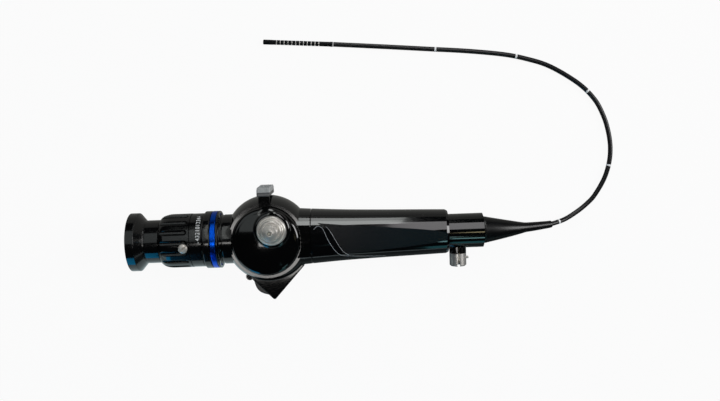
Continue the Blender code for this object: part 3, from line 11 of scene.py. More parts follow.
import bmesh
import bpy
from mathutils import Matrix, Vector


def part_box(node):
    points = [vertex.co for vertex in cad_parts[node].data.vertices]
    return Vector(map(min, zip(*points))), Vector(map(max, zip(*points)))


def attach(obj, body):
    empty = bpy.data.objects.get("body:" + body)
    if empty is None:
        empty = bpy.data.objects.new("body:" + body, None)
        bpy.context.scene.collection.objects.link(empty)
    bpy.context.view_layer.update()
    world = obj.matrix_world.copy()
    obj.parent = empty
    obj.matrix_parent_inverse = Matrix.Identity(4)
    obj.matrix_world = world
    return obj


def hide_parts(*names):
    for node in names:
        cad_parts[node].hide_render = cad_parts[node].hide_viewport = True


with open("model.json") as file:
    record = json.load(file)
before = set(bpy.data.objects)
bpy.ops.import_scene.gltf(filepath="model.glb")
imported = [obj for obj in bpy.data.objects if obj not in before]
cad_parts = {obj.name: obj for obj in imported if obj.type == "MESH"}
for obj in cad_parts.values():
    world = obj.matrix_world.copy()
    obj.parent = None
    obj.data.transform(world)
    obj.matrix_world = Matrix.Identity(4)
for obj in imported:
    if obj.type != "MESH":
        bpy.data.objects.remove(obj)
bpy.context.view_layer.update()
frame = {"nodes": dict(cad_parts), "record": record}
nodes = frame["nodes"]
MM = 0.001

# %% [markdown]
# The camera comes first, because a cord that lies free is checked against its view. The photograph looks
# almost straight down with a lens a little longer than normal, so the camera stands half a metre over the
# table, leans a few degrees towards the top of the picture, and turns a little so that the body runs
# slightly uphill.

# %% Camera
CAMERA_AT = (0.056863, 0.073560, 0.487004)
CAMERA_TURN = math.radians(-2.1)
CAMERA_LEAN = math.radians(-6.5)
LENS = 40
SENSOR = 36

camera_data = bpy.data.cameras.new("camera")
camera_data.lens = LENS
camera_data.sensor_width = SENSOR
camera = bpy.data.objects.new("camera", camera_data)
turn = Matrix.Rotation(CAMERA_TURN, 4, "Z")
lean = Matrix.Rotation(CAMERA_LEAN, 4, "X")
camera.matrix_world = Matrix.Translation(CAMERA_AT) @ turn @ lean
bpy.context.collection.objects.link(camera)
bpy.context.scene.camera = camera
bpy.context.scene.view_settings.view_transform = "Standard"

# %% [markdown]
# Every piece is made with Blender's own modelling tools. An operator acts on whatever is selected, so a
# helper picks one object and nothing else. Each finished piece has its place in its mesh and its object
# at the origin, rides on the CAD body that it belongs to, and hides the CAD node that it stands for.
# Normals weighted by area keep a large face flat beside its small bevels, which matters here, because
# gloss shows every dent.

# %% Helpers for picking and finishing a piece
SMOOTH_ANGLE = math.radians(32)
node_body = {name: body for body, names in frame["record"]["behaviour"]["bodies"].items() for name in names}
node_slot = {row["node"]: row["material_slot"] for row in frame["record"]["subparts"]}


def pick(piece):
    if bpy.context.object and bpy.context.object.mode != "OBJECT":
        bpy.ops.object.mode_set(mode="OBJECT")
    bpy.ops.object.select_all(action="DESELECT")
    piece.select_set(True)
    bpy.context.view_layer.objects.active = piece


def edit(piece):
    pick(piece)
    bpy.ops.object.mode_set(mode="EDIT")
    bpy.ops.mesh.select_all(action="SELECT")


def leave(piece):
    bpy.ops.object.mode_set(mode="OBJECT")
    pick(piece)
    return piece


def place(piece, matrix):
    """Put a piece by a matrix and write its place into its mesh."""
    pick(piece)
    piece.matrix_world = matrix
    bpy.ops.object.transform_apply(location=True, rotation=True, scale=True)
    return piece


def apply_all(piece):
    pick(piece)
    for modifier in list(piece.modifiers):
        bpy.ops.object.modifier_apply(modifier=modifier.name)


def bevel(piece, width, segments=2, angle=30):
    """Round the edges that turn by more than an angle."""
    modifier = piece.modifiers.new("bevel", "BEVEL")
    modifier.width = width * MM
    modifier.segments = segments
    modifier.limit_method = "ANGLE"
    modifier.angle_limit = math.radians(angle)
    apply_all(piece)


def carve(piece, *cutters, operation="DIFFERENCE"):
    """Take each cutter away from a piece, or add it to the piece with UNION, and remove the cutters."""
    for cutter in cutters:
        modifier = piece.modifiers.new("carve", "BOOLEAN")
        modifier.operation = operation
        modifier.solver = "EXACT"
        modifier.object = cutter
        apply_all(piece)
        bpy.data.objects.remove(cutter, do_unlink=True)


def belong(piece, body, slot, *stands_for):
    """Let a piece ride on a CAD body in place of the CAD nodes given; the slot is not used."""
    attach(piece, body)
    if stands_for:
        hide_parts(*stands_for)


def dress(piece, look, *stands_for, body=None, slot=None):
    """Smooth a piece, keep its flats flat by weighted normals, and give it its finish and its place."""
    pick(piece)
    bpy.ops.object.shade_smooth_by_angle(angle=SMOOTH_ANGLE)
    modifier = piece.modifiers.new("weighted", "WEIGHTED_NORMAL")
    modifier.keep_sharp = True
    apply_all(piece)
    if not piece.data.materials:
        piece.data.materials.append(look)
    belong(piece, body or node_body[stands_for[0]], slot or node_slot[stands_for[0]], *stands_for)


# %% [markdown]
# The insertion tube lies free on the table, so it is made right after the camera. Its centreline is a
# smooth curve through the points that the CAD model uses too. A curve with a round bevel needs no
# modelling: the tube is 2.8 mm thick and 300 mm long. Five white rings on it tell how deep it has gone
# in.

# %% Route of the insertion tube
TABLE_Z = 1.57
ROUTE = [
    (127.1, 0.0, 17.2), (134.0, 0.0, 17.1), (141.0, 0.0, 16.6), (148.5, 0.0, 15.4), (156.0, 0.1, 13.4),
    (163.2, 0.3, 10.9), (170.3, 0.7, 8.1), (179.0, 2.8, 5.0), (187.4, 7.2, 2.8), (193.5, 11.7, 1.85),
    (198.0, 16.4, TABLE_Z), (203.7, 26.0, TABLE_Z), (206.8, 35.7, TABLE_Z), (207.6, 45.3, TABLE_Z),
    (206.3, 55.1, TABLE_Z), (203.3, 64.8, TABLE_Z), (198.0, 74.6, TABLE_Z), (188.2, 84.5, TABLE_Z),
    (171.6, 94.9, TABLE_Z), (157.3, 100.0, TABLE_Z), (143.0, 103.2, TABLE_Z), (121.5, 105.9, TABLE_Z),
    (100.0, 107.8, TABLE_Z), (78.5, 109.7, TABLE_Z), (57.1, 111.5, TABLE_Z), (42.3, 112.7, TABLE_Z),
]
ROUTE_STEPS = 24


def smooth_route(points):
    """A Catmull-Rom curve through the points, as short straight steps."""
    padded = [2 * points[0] - points[1], *points, 2 * points[-1] - points[-2]]
    curve = []
    for a, b, c, d in zip(padded, padded[1:], padded[2:], padded[3:]):
        square = 2 * a - 5 * b + 4 * c - d
        cube = 3 * (b - c) + d - a
        for i in range(ROUTE_STEPS):
            t = i / ROUTE_STEPS
            curve.append((2 * b + (c - a) * t + square * t**2 + cube * t**3) / 2)
    return curve + [points[-1]]


def walk(curve, distances):
    """The points of a curve at the given distances along it."""
    found = []
    travelled = 0.0
    wanted = list(distances)
    for a, b in zip(curve, curve[1:]):
        length = (b - a).length
        while wanted and wanted[0] <= travelled + length:
            found.append(a.lerp(b, (wanted.pop(0) - travelled) / length))
        travelled += length
    return found + [curve[-1]] * len(wanted)


route = smooth_route([Vector(point) * MM for point in ROUTE])
route_length = sum((b - a).length for a, b in zip(route, route[1:]))
TUBE_START = 4.5 * MM
tube_length = route_length - TUBE_START
print("tube length in mm", round(tube_length / MM, 1))


# %% Insertion tube and its depth marks
TUBE_R = 1.4
TUBE_SEGMENTS = 280
MARK_WIDTH = 1.1
MARK_STAND = 0.03
MARKS_FROM_TIP = (61.0, 109.6, 158.2, 206.8, 255.4)


def curve_tube(name, points, radius, sides=8):
    """A round tube along a line of points in metres, as one open spline."""
    data = bpy.data.curves.new(name, "CURVE")
    data.dimensions = "3D"
    data.bevel_depth = radius * MM
    data.bevel_resolution = sides
    data.use_fill_caps = True
    spline = data.splines.new("POLY")
    spline.points.add(len(points) - 1)
    for target, point in zip(spline.points, points):
        target.co = (*point, 1)
    spline.use_smooth = True
    piece = bpy.data.objects.new(name, data)
    bpy.context.collection.objects.link(piece)
    return piece


def stretch(start, stop, steps):
    """Evenly spaced points of the route between two distances along it."""
    return walk(route, [start + (stop - start) * i / steps for i in range(steps + 1)])


tube = curve_tube("insertion_tube", stretch(TUBE_START, route_length, TUBE_SEGMENTS), TUBE_R)
marks = []
for number, from_tip in enumerate(MARKS_FROM_TIP, 1):
    middle = route_length - from_tip * MM
    half = MARK_WIDTH * MM / 2
    span = stretch(middle - half, middle + half, 4)
    marks.append(curve_tube(f"depth_mark_{number}", span, TUBE_R + MARK_STAND))
print("marks", len(marks))

# %% [markdown]
# Most of the instrument is turned on a lathe, and so are these pieces. A plane is merged into one point,
# the point is extruded along the profile, and the line is spun about the local Z axis. A profile is
# written as (along, radius) pairs in millimetres. The body's axis, the light post, the vent and the
# lever's pivot each have a frame that turns the local Z axis the right way.

# %% Turned pieces, drawn outlines and boxes
FINE = 128
MEDIUM = 64
SMALL = 32
MERGE = 1e-6


def line_of_points(name, points):
    """An open line through 3-D points in millimetres, drawn by extruding one point; it stays in edit mode."""
    bpy.ops.object.select_all(action="DESELECT")
    bpy.ops.mesh.primitive_plane_add(size=MM)
    piece = bpy.context.active_object
    piece.name = name
    bpy.ops.object.mode_set(mode="EDIT")
    bpy.ops.mesh.select_all(action="SELECT")
    bpy.ops.mesh.merge(type="CENTER")
    here = Vector((0, 0, 0))
    for number, point in enumerate(points):
        step = (Vector(point) - here) * MM
        if number:
            bpy.ops.mesh.extrude_region_move(TRANSFORM_OT_translate={"value": step})
        else:
            bpy.ops.transform.translate(value=step)
        here = Vector(point)
    return piece


def join_ends(piece):
    """Close the line with an edge from its last point to its first."""
    shape = bmesh.from_edit_mesh(piece.data)
    for vertex in shape.verts:
        vertex.select_set(len(vertex.link_edges) == 1)
    shape.select_flush_mode()
    bmesh.update_edit_mesh(piece.data)
    bpy.ops.mesh.edge_face_add()


def turned(name, outline, matrix, steps=FINE, ring=False):
    """Spin a profile of (along, radius) points about local Z; ring closes one that leaves the axis free."""
    piece = line_of_points(name, [(radius, 0, along) for along, radius in outline])
    if ring:
        join_ends(piece)
    bpy.ops.mesh.select_all(action="SELECT")
    bpy.ops.mesh.spin(steps=steps, angle=math.tau, center=(0, 0, 0), axis=(0, 0, 1))
    bpy.ops.mesh.select_all(action="SELECT")
    bpy.ops.mesh.remove_doubles(threshold=MERGE)
    bpy.ops.mesh.normals_make_consistent(inside=False)
    return place(leave(piece), matrix)


def drawn(name, outline, low, high, matrix):
    """A flat outline of (x, y) points in millimetres, filled and drawn out from low to high."""
    piece = line_of_points(name, [(x, y, low) for x, y in outline])
    join_ends(piece)
    bpy.ops.mesh.select_all(action="SELECT")
    bpy.ops.mesh.edge_face_add()
    bpy.ops.mesh.select_all(action="SELECT")
    bpy.ops.mesh.extrude_region_move(TRANSFORM_OT_translate={"value": (0, 0, (high - low) * MM)})
    bpy.ops.mesh.select_all(action="SELECT")
    bpy.ops.mesh.normals_make_consistent(inside=False)
    return place(leave(piece), matrix)


def rod(name, radius, low, high, matrix, steps=MEDIUM):
    """A solid round bar along local Z."""
    return turned(name, [(low, 0), (low, radius), (high, radius), (high, 0)], matrix, steps)


def block(name, low, high, matrix):
    """A box between two corners, which is only ever used to cut with."""
    (x0, y0, z0), (x1, y1, z1) = low, high
    return drawn(name, [(x0, y0), (x1, y0), (x1, y1), (x0, y1)], z0, z1, matrix)


def arc(centre, radius, start, stop, steps):
    """Points of an arc, both ends included, with its angles in degrees."""
    angles = [math.radians(start + (stop - start) * i / steps) for i in range(steps + 1)]
    return [(centre[0] + radius * math.cos(a), centre[1] + radius * math.sin(a)) for a in angles]


def quarter(steps):
    """The angles of a quarter turn, both ends included."""
    return [math.pi / 2 * i / steps for i in range(steps + 1)]


# %% Frames of the turned pieces
eyecup_low, eyecup_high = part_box("eyecup")
AXIS_Z = (eyecup_low.z + eyecup_high.z) / 2
post_low, post_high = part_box("light_post")
vent_low, vent_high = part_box("vent_sleeve")
BODY_AXIS = Matrix.Translation((0, 0, AXIS_Z)) @ Matrix.Rotation(math.radians(90), 4, "Y")
PIVOT = Matrix.Translation((0, 0, AXIS_Z))
POST_X = (post_low.x + post_high.x) / 2
POST_Y = (post_low.y + post_high.y) / 2
POST = Matrix.Translation((POST_X, POST_Y, AXIS_Z))
PORT_X = (vent_low.x + vent_high.x) / 2
PORT = Matrix.Translation((PORT_X, 0, AXIS_Z)) @ Matrix.Rotation(math.radians(90), 4, "X")
print("axis height", round(AXIS_Z / MM, 2), "post", round(POST_X / MM, 2), round(POST_Y / MM, 2))

# %% [markdown]
# A finish is a Principled BSDF whose colour, roughness and bump come from a few nodes. The sums between
# nodes are written as Python: a wire is one output, and adding or multiplying wires adds the Math node
# that does it. Any other node comes from one method, which sets the node's options first and then its
# sockets.

# %% Wires and finishes
COAT_ROUGHNESS = 0.04


class Wire:
    """A node's output that can be used in sums."""

    def __init__(self, finish, socket):
        self.finish = finish
        self.socket = socket

    def sum(self, operation, first, second):
        return self.finish.node("ShaderNodeMath", {"operation": operation}, {0: first, 1: second})

    def __add__(self, other):
        return self.sum("ADD", self, other)

    def __mul__(self, other):
        return self.sum("MULTIPLY", self, other)

    def __sub__(self, other):
        return self.sum("SUBTRACT", self, other)

    def above(self, level):
        """1 where this value is larger than the level, and 0 elsewhere."""
        return self.sum("GREATER_THAN", self, level)


class Finish:
    """A material that is made node by node."""

    def __init__(self, name, colour, roughness, metallic=0.0, coat=0.0):
        self.material = bpy.data.materials.new(name)
        self.material.use_nodes = True
        self.tree = self.material.node_tree
        self.shader = self.tree.nodes["Principled BSDF"]
        self.set("Base Color", (*colour, 1))
        self.set("Roughness", roughness)
        self.set("Metallic", metallic)
        self.set("Coat Weight", coat)
        self.set("Coat Roughness", COAT_ROUGHNESS)

    def feed(self, socket, value):
        if isinstance(value, Wire):
            self.tree.links.new(value.socket, socket)
        else:
            socket.default_value = value

    def set(self, name, value):
        self.feed(self.shader.inputs[name], value)

    def node(self, kind, settings=None, sockets=None, out=0):
        made = self.tree.nodes.new(kind)
        for name, value in (settings or {}).items():
            setattr(made, name, value)
        for name, value in (sockets or {}).items():
            self.feed(made.inputs[name], value)
        return Wire(self, made.outputs[out])

    def points(self):
        """Object coordinates: the whole object's metres, because every piece stands at the origin."""
        return self.node("ShaderNodeTexCoord", out="Object")

    def axis(self, letter):
        return self.node("ShaderNodeSeparateXYZ", {}, {"Vector": self.points()}, letter)

    def noise(self, size, detail=2.0):
        """Cloudy noise whose blotches are about that many millimetres wide."""
        sockets = {"Vector": self.points(), "Scale": 1 / (size * MM), "Detail": detail}
        return self.node("ShaderNodeTexNoise", {}, sockets)

    def lines(self, position, pitch):
        """Noise that changes along one position only, like a lathe tool's marks, pitch in millimetres."""
        sockets = {"W": position, "Scale": 1 / (pitch * MM), "Detail": 3.0}
        return self.node("ShaderNodeTexNoise", {"noise_dimensions": "1D"}, sockets)

    def from_axis(self, x, y):
        """Distance from a vertical axis."""
        sockets = {0: self.points(), 1: (1, 1, 0), 2: (-x, -y, 0)}
        shifted = self.node("ShaderNodeVectorMath", {"operation": "MULTIPLY_ADD"}, sockets)
        return self.node("ShaderNodeVectorMath", {"operation": "LENGTH"}, {0: shifted}, "Value")

    def mixed(self, share, first, second):
        """A colour between two, by a wire that runs from 0 to 1."""
        sockets = {"Factor": share, "A": (*first, 1), "B": (*second, 1)}
        made = self.tree.nodes.new("ShaderNodeMix")
        made.data_type = "RGBA"
        for name, value in sockets.items():
            socket = next(s for s in made.inputs if s.name == name and s.enabled)
            self.feed(socket, value)
        return Wire(self, next(s for s in made.outputs if s.enabled))

    def relief(self, height, depth):
        """Bump of so many millimetres from a wire that runs from 0 to 1."""
        sockets = {"Strength": 1.0, "Distance": depth * MM, "Height": height}
        self.set("Normal", self.node("ShaderNodeBump", {}, sockets))
        return self


# %% [markdown]
# The eyepiece's rings and the vent's stub are anodised aluminium: nearly black, smooth, with the faint
# rings that a lathe leaves round the axis. The lines follow the position along the body, so they run
# round every turned piece.

# %% Anodised aluminium
LATHE_PITCH = 0.12


def anodised(name, colour=(0.0012, 0.0013, 0.0015), roughness=0.13):
    finish = Finish(name, colour, roughness, coat=0.35)
    lines = finish.lines(finish.axis("X"), LATHE_PITCH)
    cloud = finish.noise(3.0, 4.0)
    finish.set("Roughness", lines * 0.1 + cloud * 0.08 + (roughness - 0.07))
    finish.set("Base Color", finish.mixed(cloud, colour, [part * 2.2 for part in colour]))
    return finish.relief(lines, 0.0008).material


ring_black = anodised("anodised black")
dull_black = anodised("dull black inside", (0.002, 0.002, 0.002), 0.55)

# %% [markdown]
# The ball, its cover, the grip and the collar are lacquered, so they mirror the room. Lacquer is a dark
# base under a clear coat, with a slow waviness that bends the reflections a little, which is what tells
# it from glass. The lever and the finger rest are smoother, and the scoops' floors are satin.

# %% Black lacquer and gloss plastic
WAVE_SIZE = 9.0
SPECK_SIZE = 0.7


def lacquer(name, colour, roughness, ripple):
    finish = Finish(name, colour, roughness, coat=0.6)
    slow = finish.noise(WAVE_SIZE, 1.0)
    fine = finish.noise(SPECK_SIZE, 3.0)
    finish.set("Roughness", fine * 0.06 + (roughness - 0.03))
    finish.set("Base Color", finish.mixed(fine, colour, [part * 1.8 for part in colour]))
    return finish.relief(slow + fine * 0.06, ripple).material


def deepening(name, start_colour, end_colour, start, end):
    """Satin lacquer whose colour changes along the body between two stations in millimetres."""
    finish = Finish(name, end_colour, 0.25, coat=0.3)
    along = finish.axis("X") * (1 / ((end - start) * MM)) - start / (end - start)
    finish.set("Base Color", finish.mixed(along, start_colour, end_colour))
    finish.set("Roughness", finish.noise(SPECK_SIZE, 3.0) * 0.06 + 0.22)
    return finish.material


ball_black = lacquer("black lacquer", (0.001, 0.0011, 0.0012), 0.1, 0.012)
grip_black = lacquer("gloss black grip", (0.001, 0.0012, 0.0015), 0.1, 0.012)
fin_black = lacquer("gloss black plastic", (0.001, 0.001, 0.0012), 0.05, 0.002)

# %% [markdown]
# The boot, the inlay in the finger rest and the thumb pad are rubber: softer highlights and a fine grain.
# The pad's ribs are painted a paler grey than its smooth face, a painted highlight. The insertion tube has a
# polyurethane skin, a little glossier, and its depth marks are white bands of the same skin.

# %% Rubber, the tube's skin and its white marks
RIB_START = 28.5


def rubber(name, colour, roughness, grain=0.25, depth=0.006):
    finish = Finish(name, colour, roughness)
    fine = finish.noise(grain, 3.0)
    cloud = finish.noise(6.0, 2.0)
    finish.set("Roughness", fine * 0.1 + cloud * 0.1 + (roughness - 0.1))
    finish.set("Base Color", finish.mixed(cloud, colour, [part * 1.6 for part in colour]))
    return finish.relief(fine, depth).material


boot_rubber = rubber("boot rubber", (0.0016, 0.0018, 0.0024), 0.3)
inlay_rubber = rubber("inlay rubber", (0.0014, 0.0014, 0.0018), 0.22)


def rubber_with_painted_sheen(name, colour, sheen_colour):
    """Smooth rubber whose ribs, past a station along Y in millimetres, are painted a paler grey as a painted
    highlight.
    """
    finish = Finish(name, colour, 0.28)
    fine = finish.noise(0.25, 3.0)
    # Painted highlight: past RIB_START the ribs get a paler grey colour than the face.
    finish.set("Base Color", finish.mixed(finish.axis("Y").above(RIB_START * MM), colour, sheen_colour))
    finish.set("Roughness", fine * 0.1 + 0.2)
    return finish.relief(fine, 0.004).material


pad_rubber = rubber_with_painted_sheen("thumb pad", (0.10, 0.104, 0.11), (0.55, 0.57, 0.58))
tube_skin = rubber("insertion tube skin", (0.006, 0.006, 0.007), 0.3, 0.4, 0.004)
mark_white = rubber("white mark", (0.86, 0.87, 0.88), 0.35, 0.4, 0.002)
print_white = rubber("white print", (0.80, 0.82, 0.83), 0.4, 0.3, 0.002)

# %% [markdown]
# The blue ring is anodised too, but the dye is clear, so the metal shines through it. The light post and
# the vent are nickel plated brass: the post keeps the rings of its lathe, centred on its own axis.

# %% Blue ring, nickel, steel and brass
TOOL_MARK = 0.002


def lathe_x(finish):
    return finish.axis("X")


def lathe_y(finish):
    return finish.axis("Y")


def lathe_post(finish):
    return finish.from_axis(POST_X, POST_Y)


def metal(name, colour, roughness, pitch=0.1, metallic=1.0, position=lathe_x):
    """Metal with the marks of its lathe, which change along the position that is given."""
    finish = Finish(name, colour, roughness, metallic=metallic)
    lines = finish.lines(position(finish), pitch)
    cloud = finish.noise(2.5, 3.0)
    finish.set("Roughness", lines * 0.16 + cloud * 0.06 + (roughness - 0.1))
    darker = [part * 0.78 for part in colour]
    finish.set("Base Color", finish.mixed(cloud * 0.5 + lines * 0.4, darker, colour))
    return finish.relief(lines, TOOL_MARK).material


blue_metal = metal("blue anodised ring", (0.004, 0.12, 0.92), 0.22, 0.15)
post_nickel = metal("nickel light post", (0.90, 0.87, 0.82), 0.34, metallic=0.8, position=lathe_post)
vent_nickel = metal("nickel vent", (0.90, 0.87, 0.83), 0.3, metallic=0.72, position=lathe_y)
screw_nickel = metal("nickel screw", (0.92, 0.87, 0.80), 0.4, 0.2, 0.6)
steel = metal("steel", (0.60, 0.60, 0.61), 0.3)
dark_steel = metal("dark steel", (0.22, 0.22, 0.23), 0.32)
brass = metal("brass", (0.72, 0.52, 0.24), 0.3)

# %% [markdown]
# Glass is clear with a faint coating tint. A fibre bundle's end is hundreds of bright cores packed side
# by side, drawn by Voronoi cells half a tenth of a millimetre across.

# %% Glass and fibres
CORE_SIZE = 0.05


def glass(name, colour):
    finish = Finish(name, colour, 0.03, coat=1.0)
    finish.set("Transmission Weight", 0.85)
    finish.set("IOR", 1.5)
    finish.set("Base Color", finish.mixed(finish.noise(4.0), colour, [part * 0.9 for part in colour]))
    return finish.material


def fibres(name):
    finish = Finish(name, (0.72, 0.68, 0.55), 0.4)
    sockets = {"Vector": finish.points(), "Scale": 1 / (CORE_SIZE * MM)}
    cells = finish.node("ShaderNodeTexVoronoi", {}, sockets)
    finish.set("Base Color", finish.mixed(cells, (0.85, 0.82, 0.70), (0.25, 0.22, 0.16)))
    return finish.relief(cells, 0.004).material


window_glass = glass("coated window", (0.78, 0.86, 0.92))
lens_glass = glass("lens", (0.85, 0.90, 0.95))
fibre_ends = fibres("fibre bundle")
print("finishes", len(bpy.data.materials))

# %% [markdown]
# The tube and its marks get their finish. A curve isn't smoothed like a mesh, so it has a shorter helper.

# %% Dress the tube and the marks


def dress_curve(piece, look, slot, *stands_for):
    piece.data.materials.append(look)
    belong(piece, "root", slot, *stands_for)


dress_curve(tube, tube_skin, "tube_black", "insertion_tube")
for mark in marks:
    dress_curve(mark, mark_white, "tube_black")

# %% [markdown]
# The eyecup is one turned piece: a band that lies against the eye, a cone, and a neck. Its face is hollow
# like a funnel, down to a small window. The profile is drawn once and spun, and the bevel rounds only the
# turned edges, because between two spun steps the surface turns by less than three degrees.

# %% Eyecup and its window
EYECUP_FACE = -81.1
EYECUP_END = -63.3
WINDOW_SEAT = -74.5
eyecup = turned(
    "eyecup",
    [
        (EYECUP_FACE, 15.4), (EYECUP_FACE, 17.2), (-76.2, 17.2), (-72.3, 12.7), (-71.7, 12.7), (-71.6, 12.4),
        (-71.2, 12.4), (-71.1, 12.7), (EYECUP_END, 12.7), (EYECUP_END, 10.5), (-72.1, 10.5), (-72.1, 4.8),
        (-73.1, 4.8), (-73.1, 5.9), (WINDOW_SEAT, 5.9), (WINDOW_SEAT, 9.0), (-75.1, 9.6),
    ],
    BODY_AXIS,
    ring=True,
)
bevel(eyecup, 0.35, segments=3)
dress(eyecup, ring_black, "eyecup")
window = rod("eyepiece_window", 5.6, WINDOW_SEAT, WINDOW_SEAT + 1.1, BODY_AXIS)
bevel(window, 0.12)
dress(window, window_glass, "eyepiece_window")
print("eyecup", len(eyecup.data.polygons), "faces")

# %% [markdown]
# The diopter ring has sixteen flutes for the fingers. A milling cutter with a round nose leaves a groove
# that is rounded across and ends in a round toe, so the cutter here is that shape too: it is made once,
# copied round the ring, joined into one object, and taken away in one cut.

# %% Diopter ring
DIOPTER_START = -63.0
DIOPTER_END = -44.6
DIOPTER_R = 15.9
SHOULDER_R = 12.7
SHOULDER_W = 7.2
FLUTES = 16
FLUTE_R = 1.85
FLUTE_DEPTH = 1.3
FLUTE_TOE = DIOPTER_END - 1.0
STEPS_A_FLUTE = 12
SCREW_ANGLE = math.radians(98.4)
SCREW_AT = DIOPTER_END - 3.4


def around_axis(angle):
    """A frame on the body's axis whose +Y points outwards at an angle from +Y towards +Z."""
    return PIVOT @ Matrix.Rotation(angle, 4, "X")


def outward(angle, along):
    """A frame at a station of the body in millimetres, whose +Z points outwards at that angle."""
    return around_axis(angle) @ Matrix.Translation((along * MM, 0, 0)) @ Matrix.Rotation(-math.pi / 2, 4, "X")


def copies(piece, frames):
    """Copies of a piece, each with its own mesh, one at each frame; the piece itself is removed."""
    made = []
    for number, matrix in enumerate(frames, 1):
        copy = bpy.data.objects.new(f"{piece.name}_{number}", piece.data.copy())
        bpy.context.collection.objects.link(copy)
        made.append(place(copy, matrix))
    bpy.data.objects.remove(piece, do_unlink=True)
    return made


def joined(pieces):
    pick(pieces[0])
    for piece in pieces:
        piece.select_set(True)
    bpy.ops.object.join()
    return pieces[0]


shoulder = [
    (DIOPTER_START + SHOULDER_W * (1 - math.cos(a)), SHOULDER_R + (DIOPTER_R - SHOULDER_R) * math.sin(a))
    for a in quarter(14)
]
diopter = turned(
    "diopter_ring",
    shoulder + [(DIOPTER_END, DIOPTER_R), (DIOPTER_END, 10.5), (DIOPTER_START, 10.5)],
    BODY_AXIS,
    steps=FLUTES * STEPS_A_FLUTE,
    ring=True,
)
toe = arc((FLUTE_TOE - FLUTE_R, 0), FLUTE_R, 90, 0, 8)
cutter_line = [(DIOPTER_START - 1, 0), (DIOPTER_START - 1, FLUTE_R), *toe]
cutter = turned("flute_cutter", cutter_line, Matrix(), steps=SMALL)
flute_frames = [
    around_axis(SCREW_ANGLE + math.tau * (i + 0.5) / FLUTES)
    @ Matrix.Translation((0, (DIOPTER_R - FLUTE_DEPTH + FLUTE_R) * MM, 0))
    @ Matrix.Rotation(math.pi / 2, 4, "Y")
    for i in range(FLUTES)
]
carve(diopter, joined(copies(cutter, flute_frames)))
screw_frame = outward(SCREW_ANGLE, SCREW_AT)
carve(diopter, rod("screw_seat", 3.0, 15.2, 18.0, screw_frame))
bevel(diopter, 0.22, segments=2, angle=35)
dress(diopter, ring_black, "diopter_ring")
print("diopter ring", len(diopter.data.polygons), "faces")

# %% Domed screw of the diopter ring
SLOT_TURN = Matrix.Rotation(math.radians(40), 4, "Z")
dome = [(16.5 + 0.9 * math.sin(a), 1.35 + 1.35 * math.cos(a)) for a in quarter(8)]
screw = turned("diopter_screw", [(15.5, 0), (15.5, 2.7), *dome, (17.4, 0)], screw_frame, steps=MEDIUM)
carve(screw, block("slot", (-3, -0.4, 16.5), (3, 0.4, 18), screw_frame @ SLOT_TURN))
bevel(screw, 0.06)
dress(screw, screw_nickel, "diopter_screw")
print("screw", len(screw.data.polygons), "faces")

# %% [markdown]
# Between the diopter ring and the ball come four plain rings: the scale ring, a black flange, the bright
# blue ring, and a thin ring that holds the blue one. Fine chamfers and one groove make each ring read on
# its own.

# %% Scale ring, flange, blue ring and retaining ring
scale = turned(
    "scale_ring",
    [(-44.3, 10.5), (-44.3, 15.8), (-37.5, 15.8), (-37.4, 15.5), (-36.9, 15.5), (-36.9, 10.5)],
    BODY_AXIS,
    ring=True,
)
flange = turned(
    "eyepiece_flange",
    [(-36.6, 10.5), (-36.6, 16.9), (-32.6, 16.9), (-32.6, 15.2), (-29.0, 15.2), (-29.0, 10.5)],
    BODY_AXIS,
    ring=True,
)
blue = turned("blue_ring", [(-32.3, 15.5), (-32.3, 16.9), (-29.3, 16.9), (-29.3, 15.5)], BODY_AXIS, ring=True)
keeper = turned(
    "retaining_ring", [(-29.0, 15.5), (-29.0, 16.9), (-28.0, 16.9), (-28.0, 15.5)], BODY_AXIS, ring=True
)
for piece, width, look, node in (
    (scale, 0.3, ring_black, "scale_ring"),
    (flange, 0.45, ring_black, "eyepiece_flange"),
    (blue, 0.3, blue_metal, "blue_ring"),
    (keeper, 0.25, ring_black, "retaining_ring"),
):
    bevel(piece, width, segments=3)
    dress(piece, look, node)
    print(piece.name, len(piece.data.polygons), "faces")

# %% [markdown]
# The scale ring carries white numbers, a diopter scale that runs round it from minus to plus. Each sign
# is one letter of text made solid and set on the ring, turned so that the scale reads from the side of
# the grip.

# %% Numbers of the diopter scale
SCALE_SIGNS = "-432101234+"
SCALE_AT = -39.2
SIGN_SIZE = 3.4
SIGN_HALF_DEPTH = 0.02
SIGN_STAND = 15.82
FIRST_SIGN = 87
SIGN_STEP = 6.4
upright = Matrix.Translation((0, 0, SIGN_STAND * MM)) @ Matrix.Rotation(math.pi / 2, 4, "Z")
signs = []
for number, sign in enumerate(SCALE_SIGNS):
    bpy.ops.object.select_all(action="DESELECT")
    bpy.ops.object.text_add()
    letter = bpy.context.active_object
    letter.data.body = sign
    letter.data.size = SIGN_SIZE * MM
    letter.data.extrude = SIGN_HALF_DEPTH * MM
    letter.data.align_x = "CENTER"
    letter.data.align_y = "CENTER"
    bpy.ops.object.convert(target="MESH")
    here = outward(math.radians(FIRST_SIGN - SIGN_STEP * number), SCALE_AT)
    signs.append(place(letter, here @ upright))
numbers = joined(signs)
numbers.name = "scale_numbers"
numbers.data.materials.clear()
dress(numbers, print_white, body="root", slot=node_slot["scale_ring"])
print("scale signs", len(signs))

# %% [markdown]
# The mount carries the eyepiece on the ball. It is mostly hidden: what shows is the face round the blue
# ring and one narrow groove.

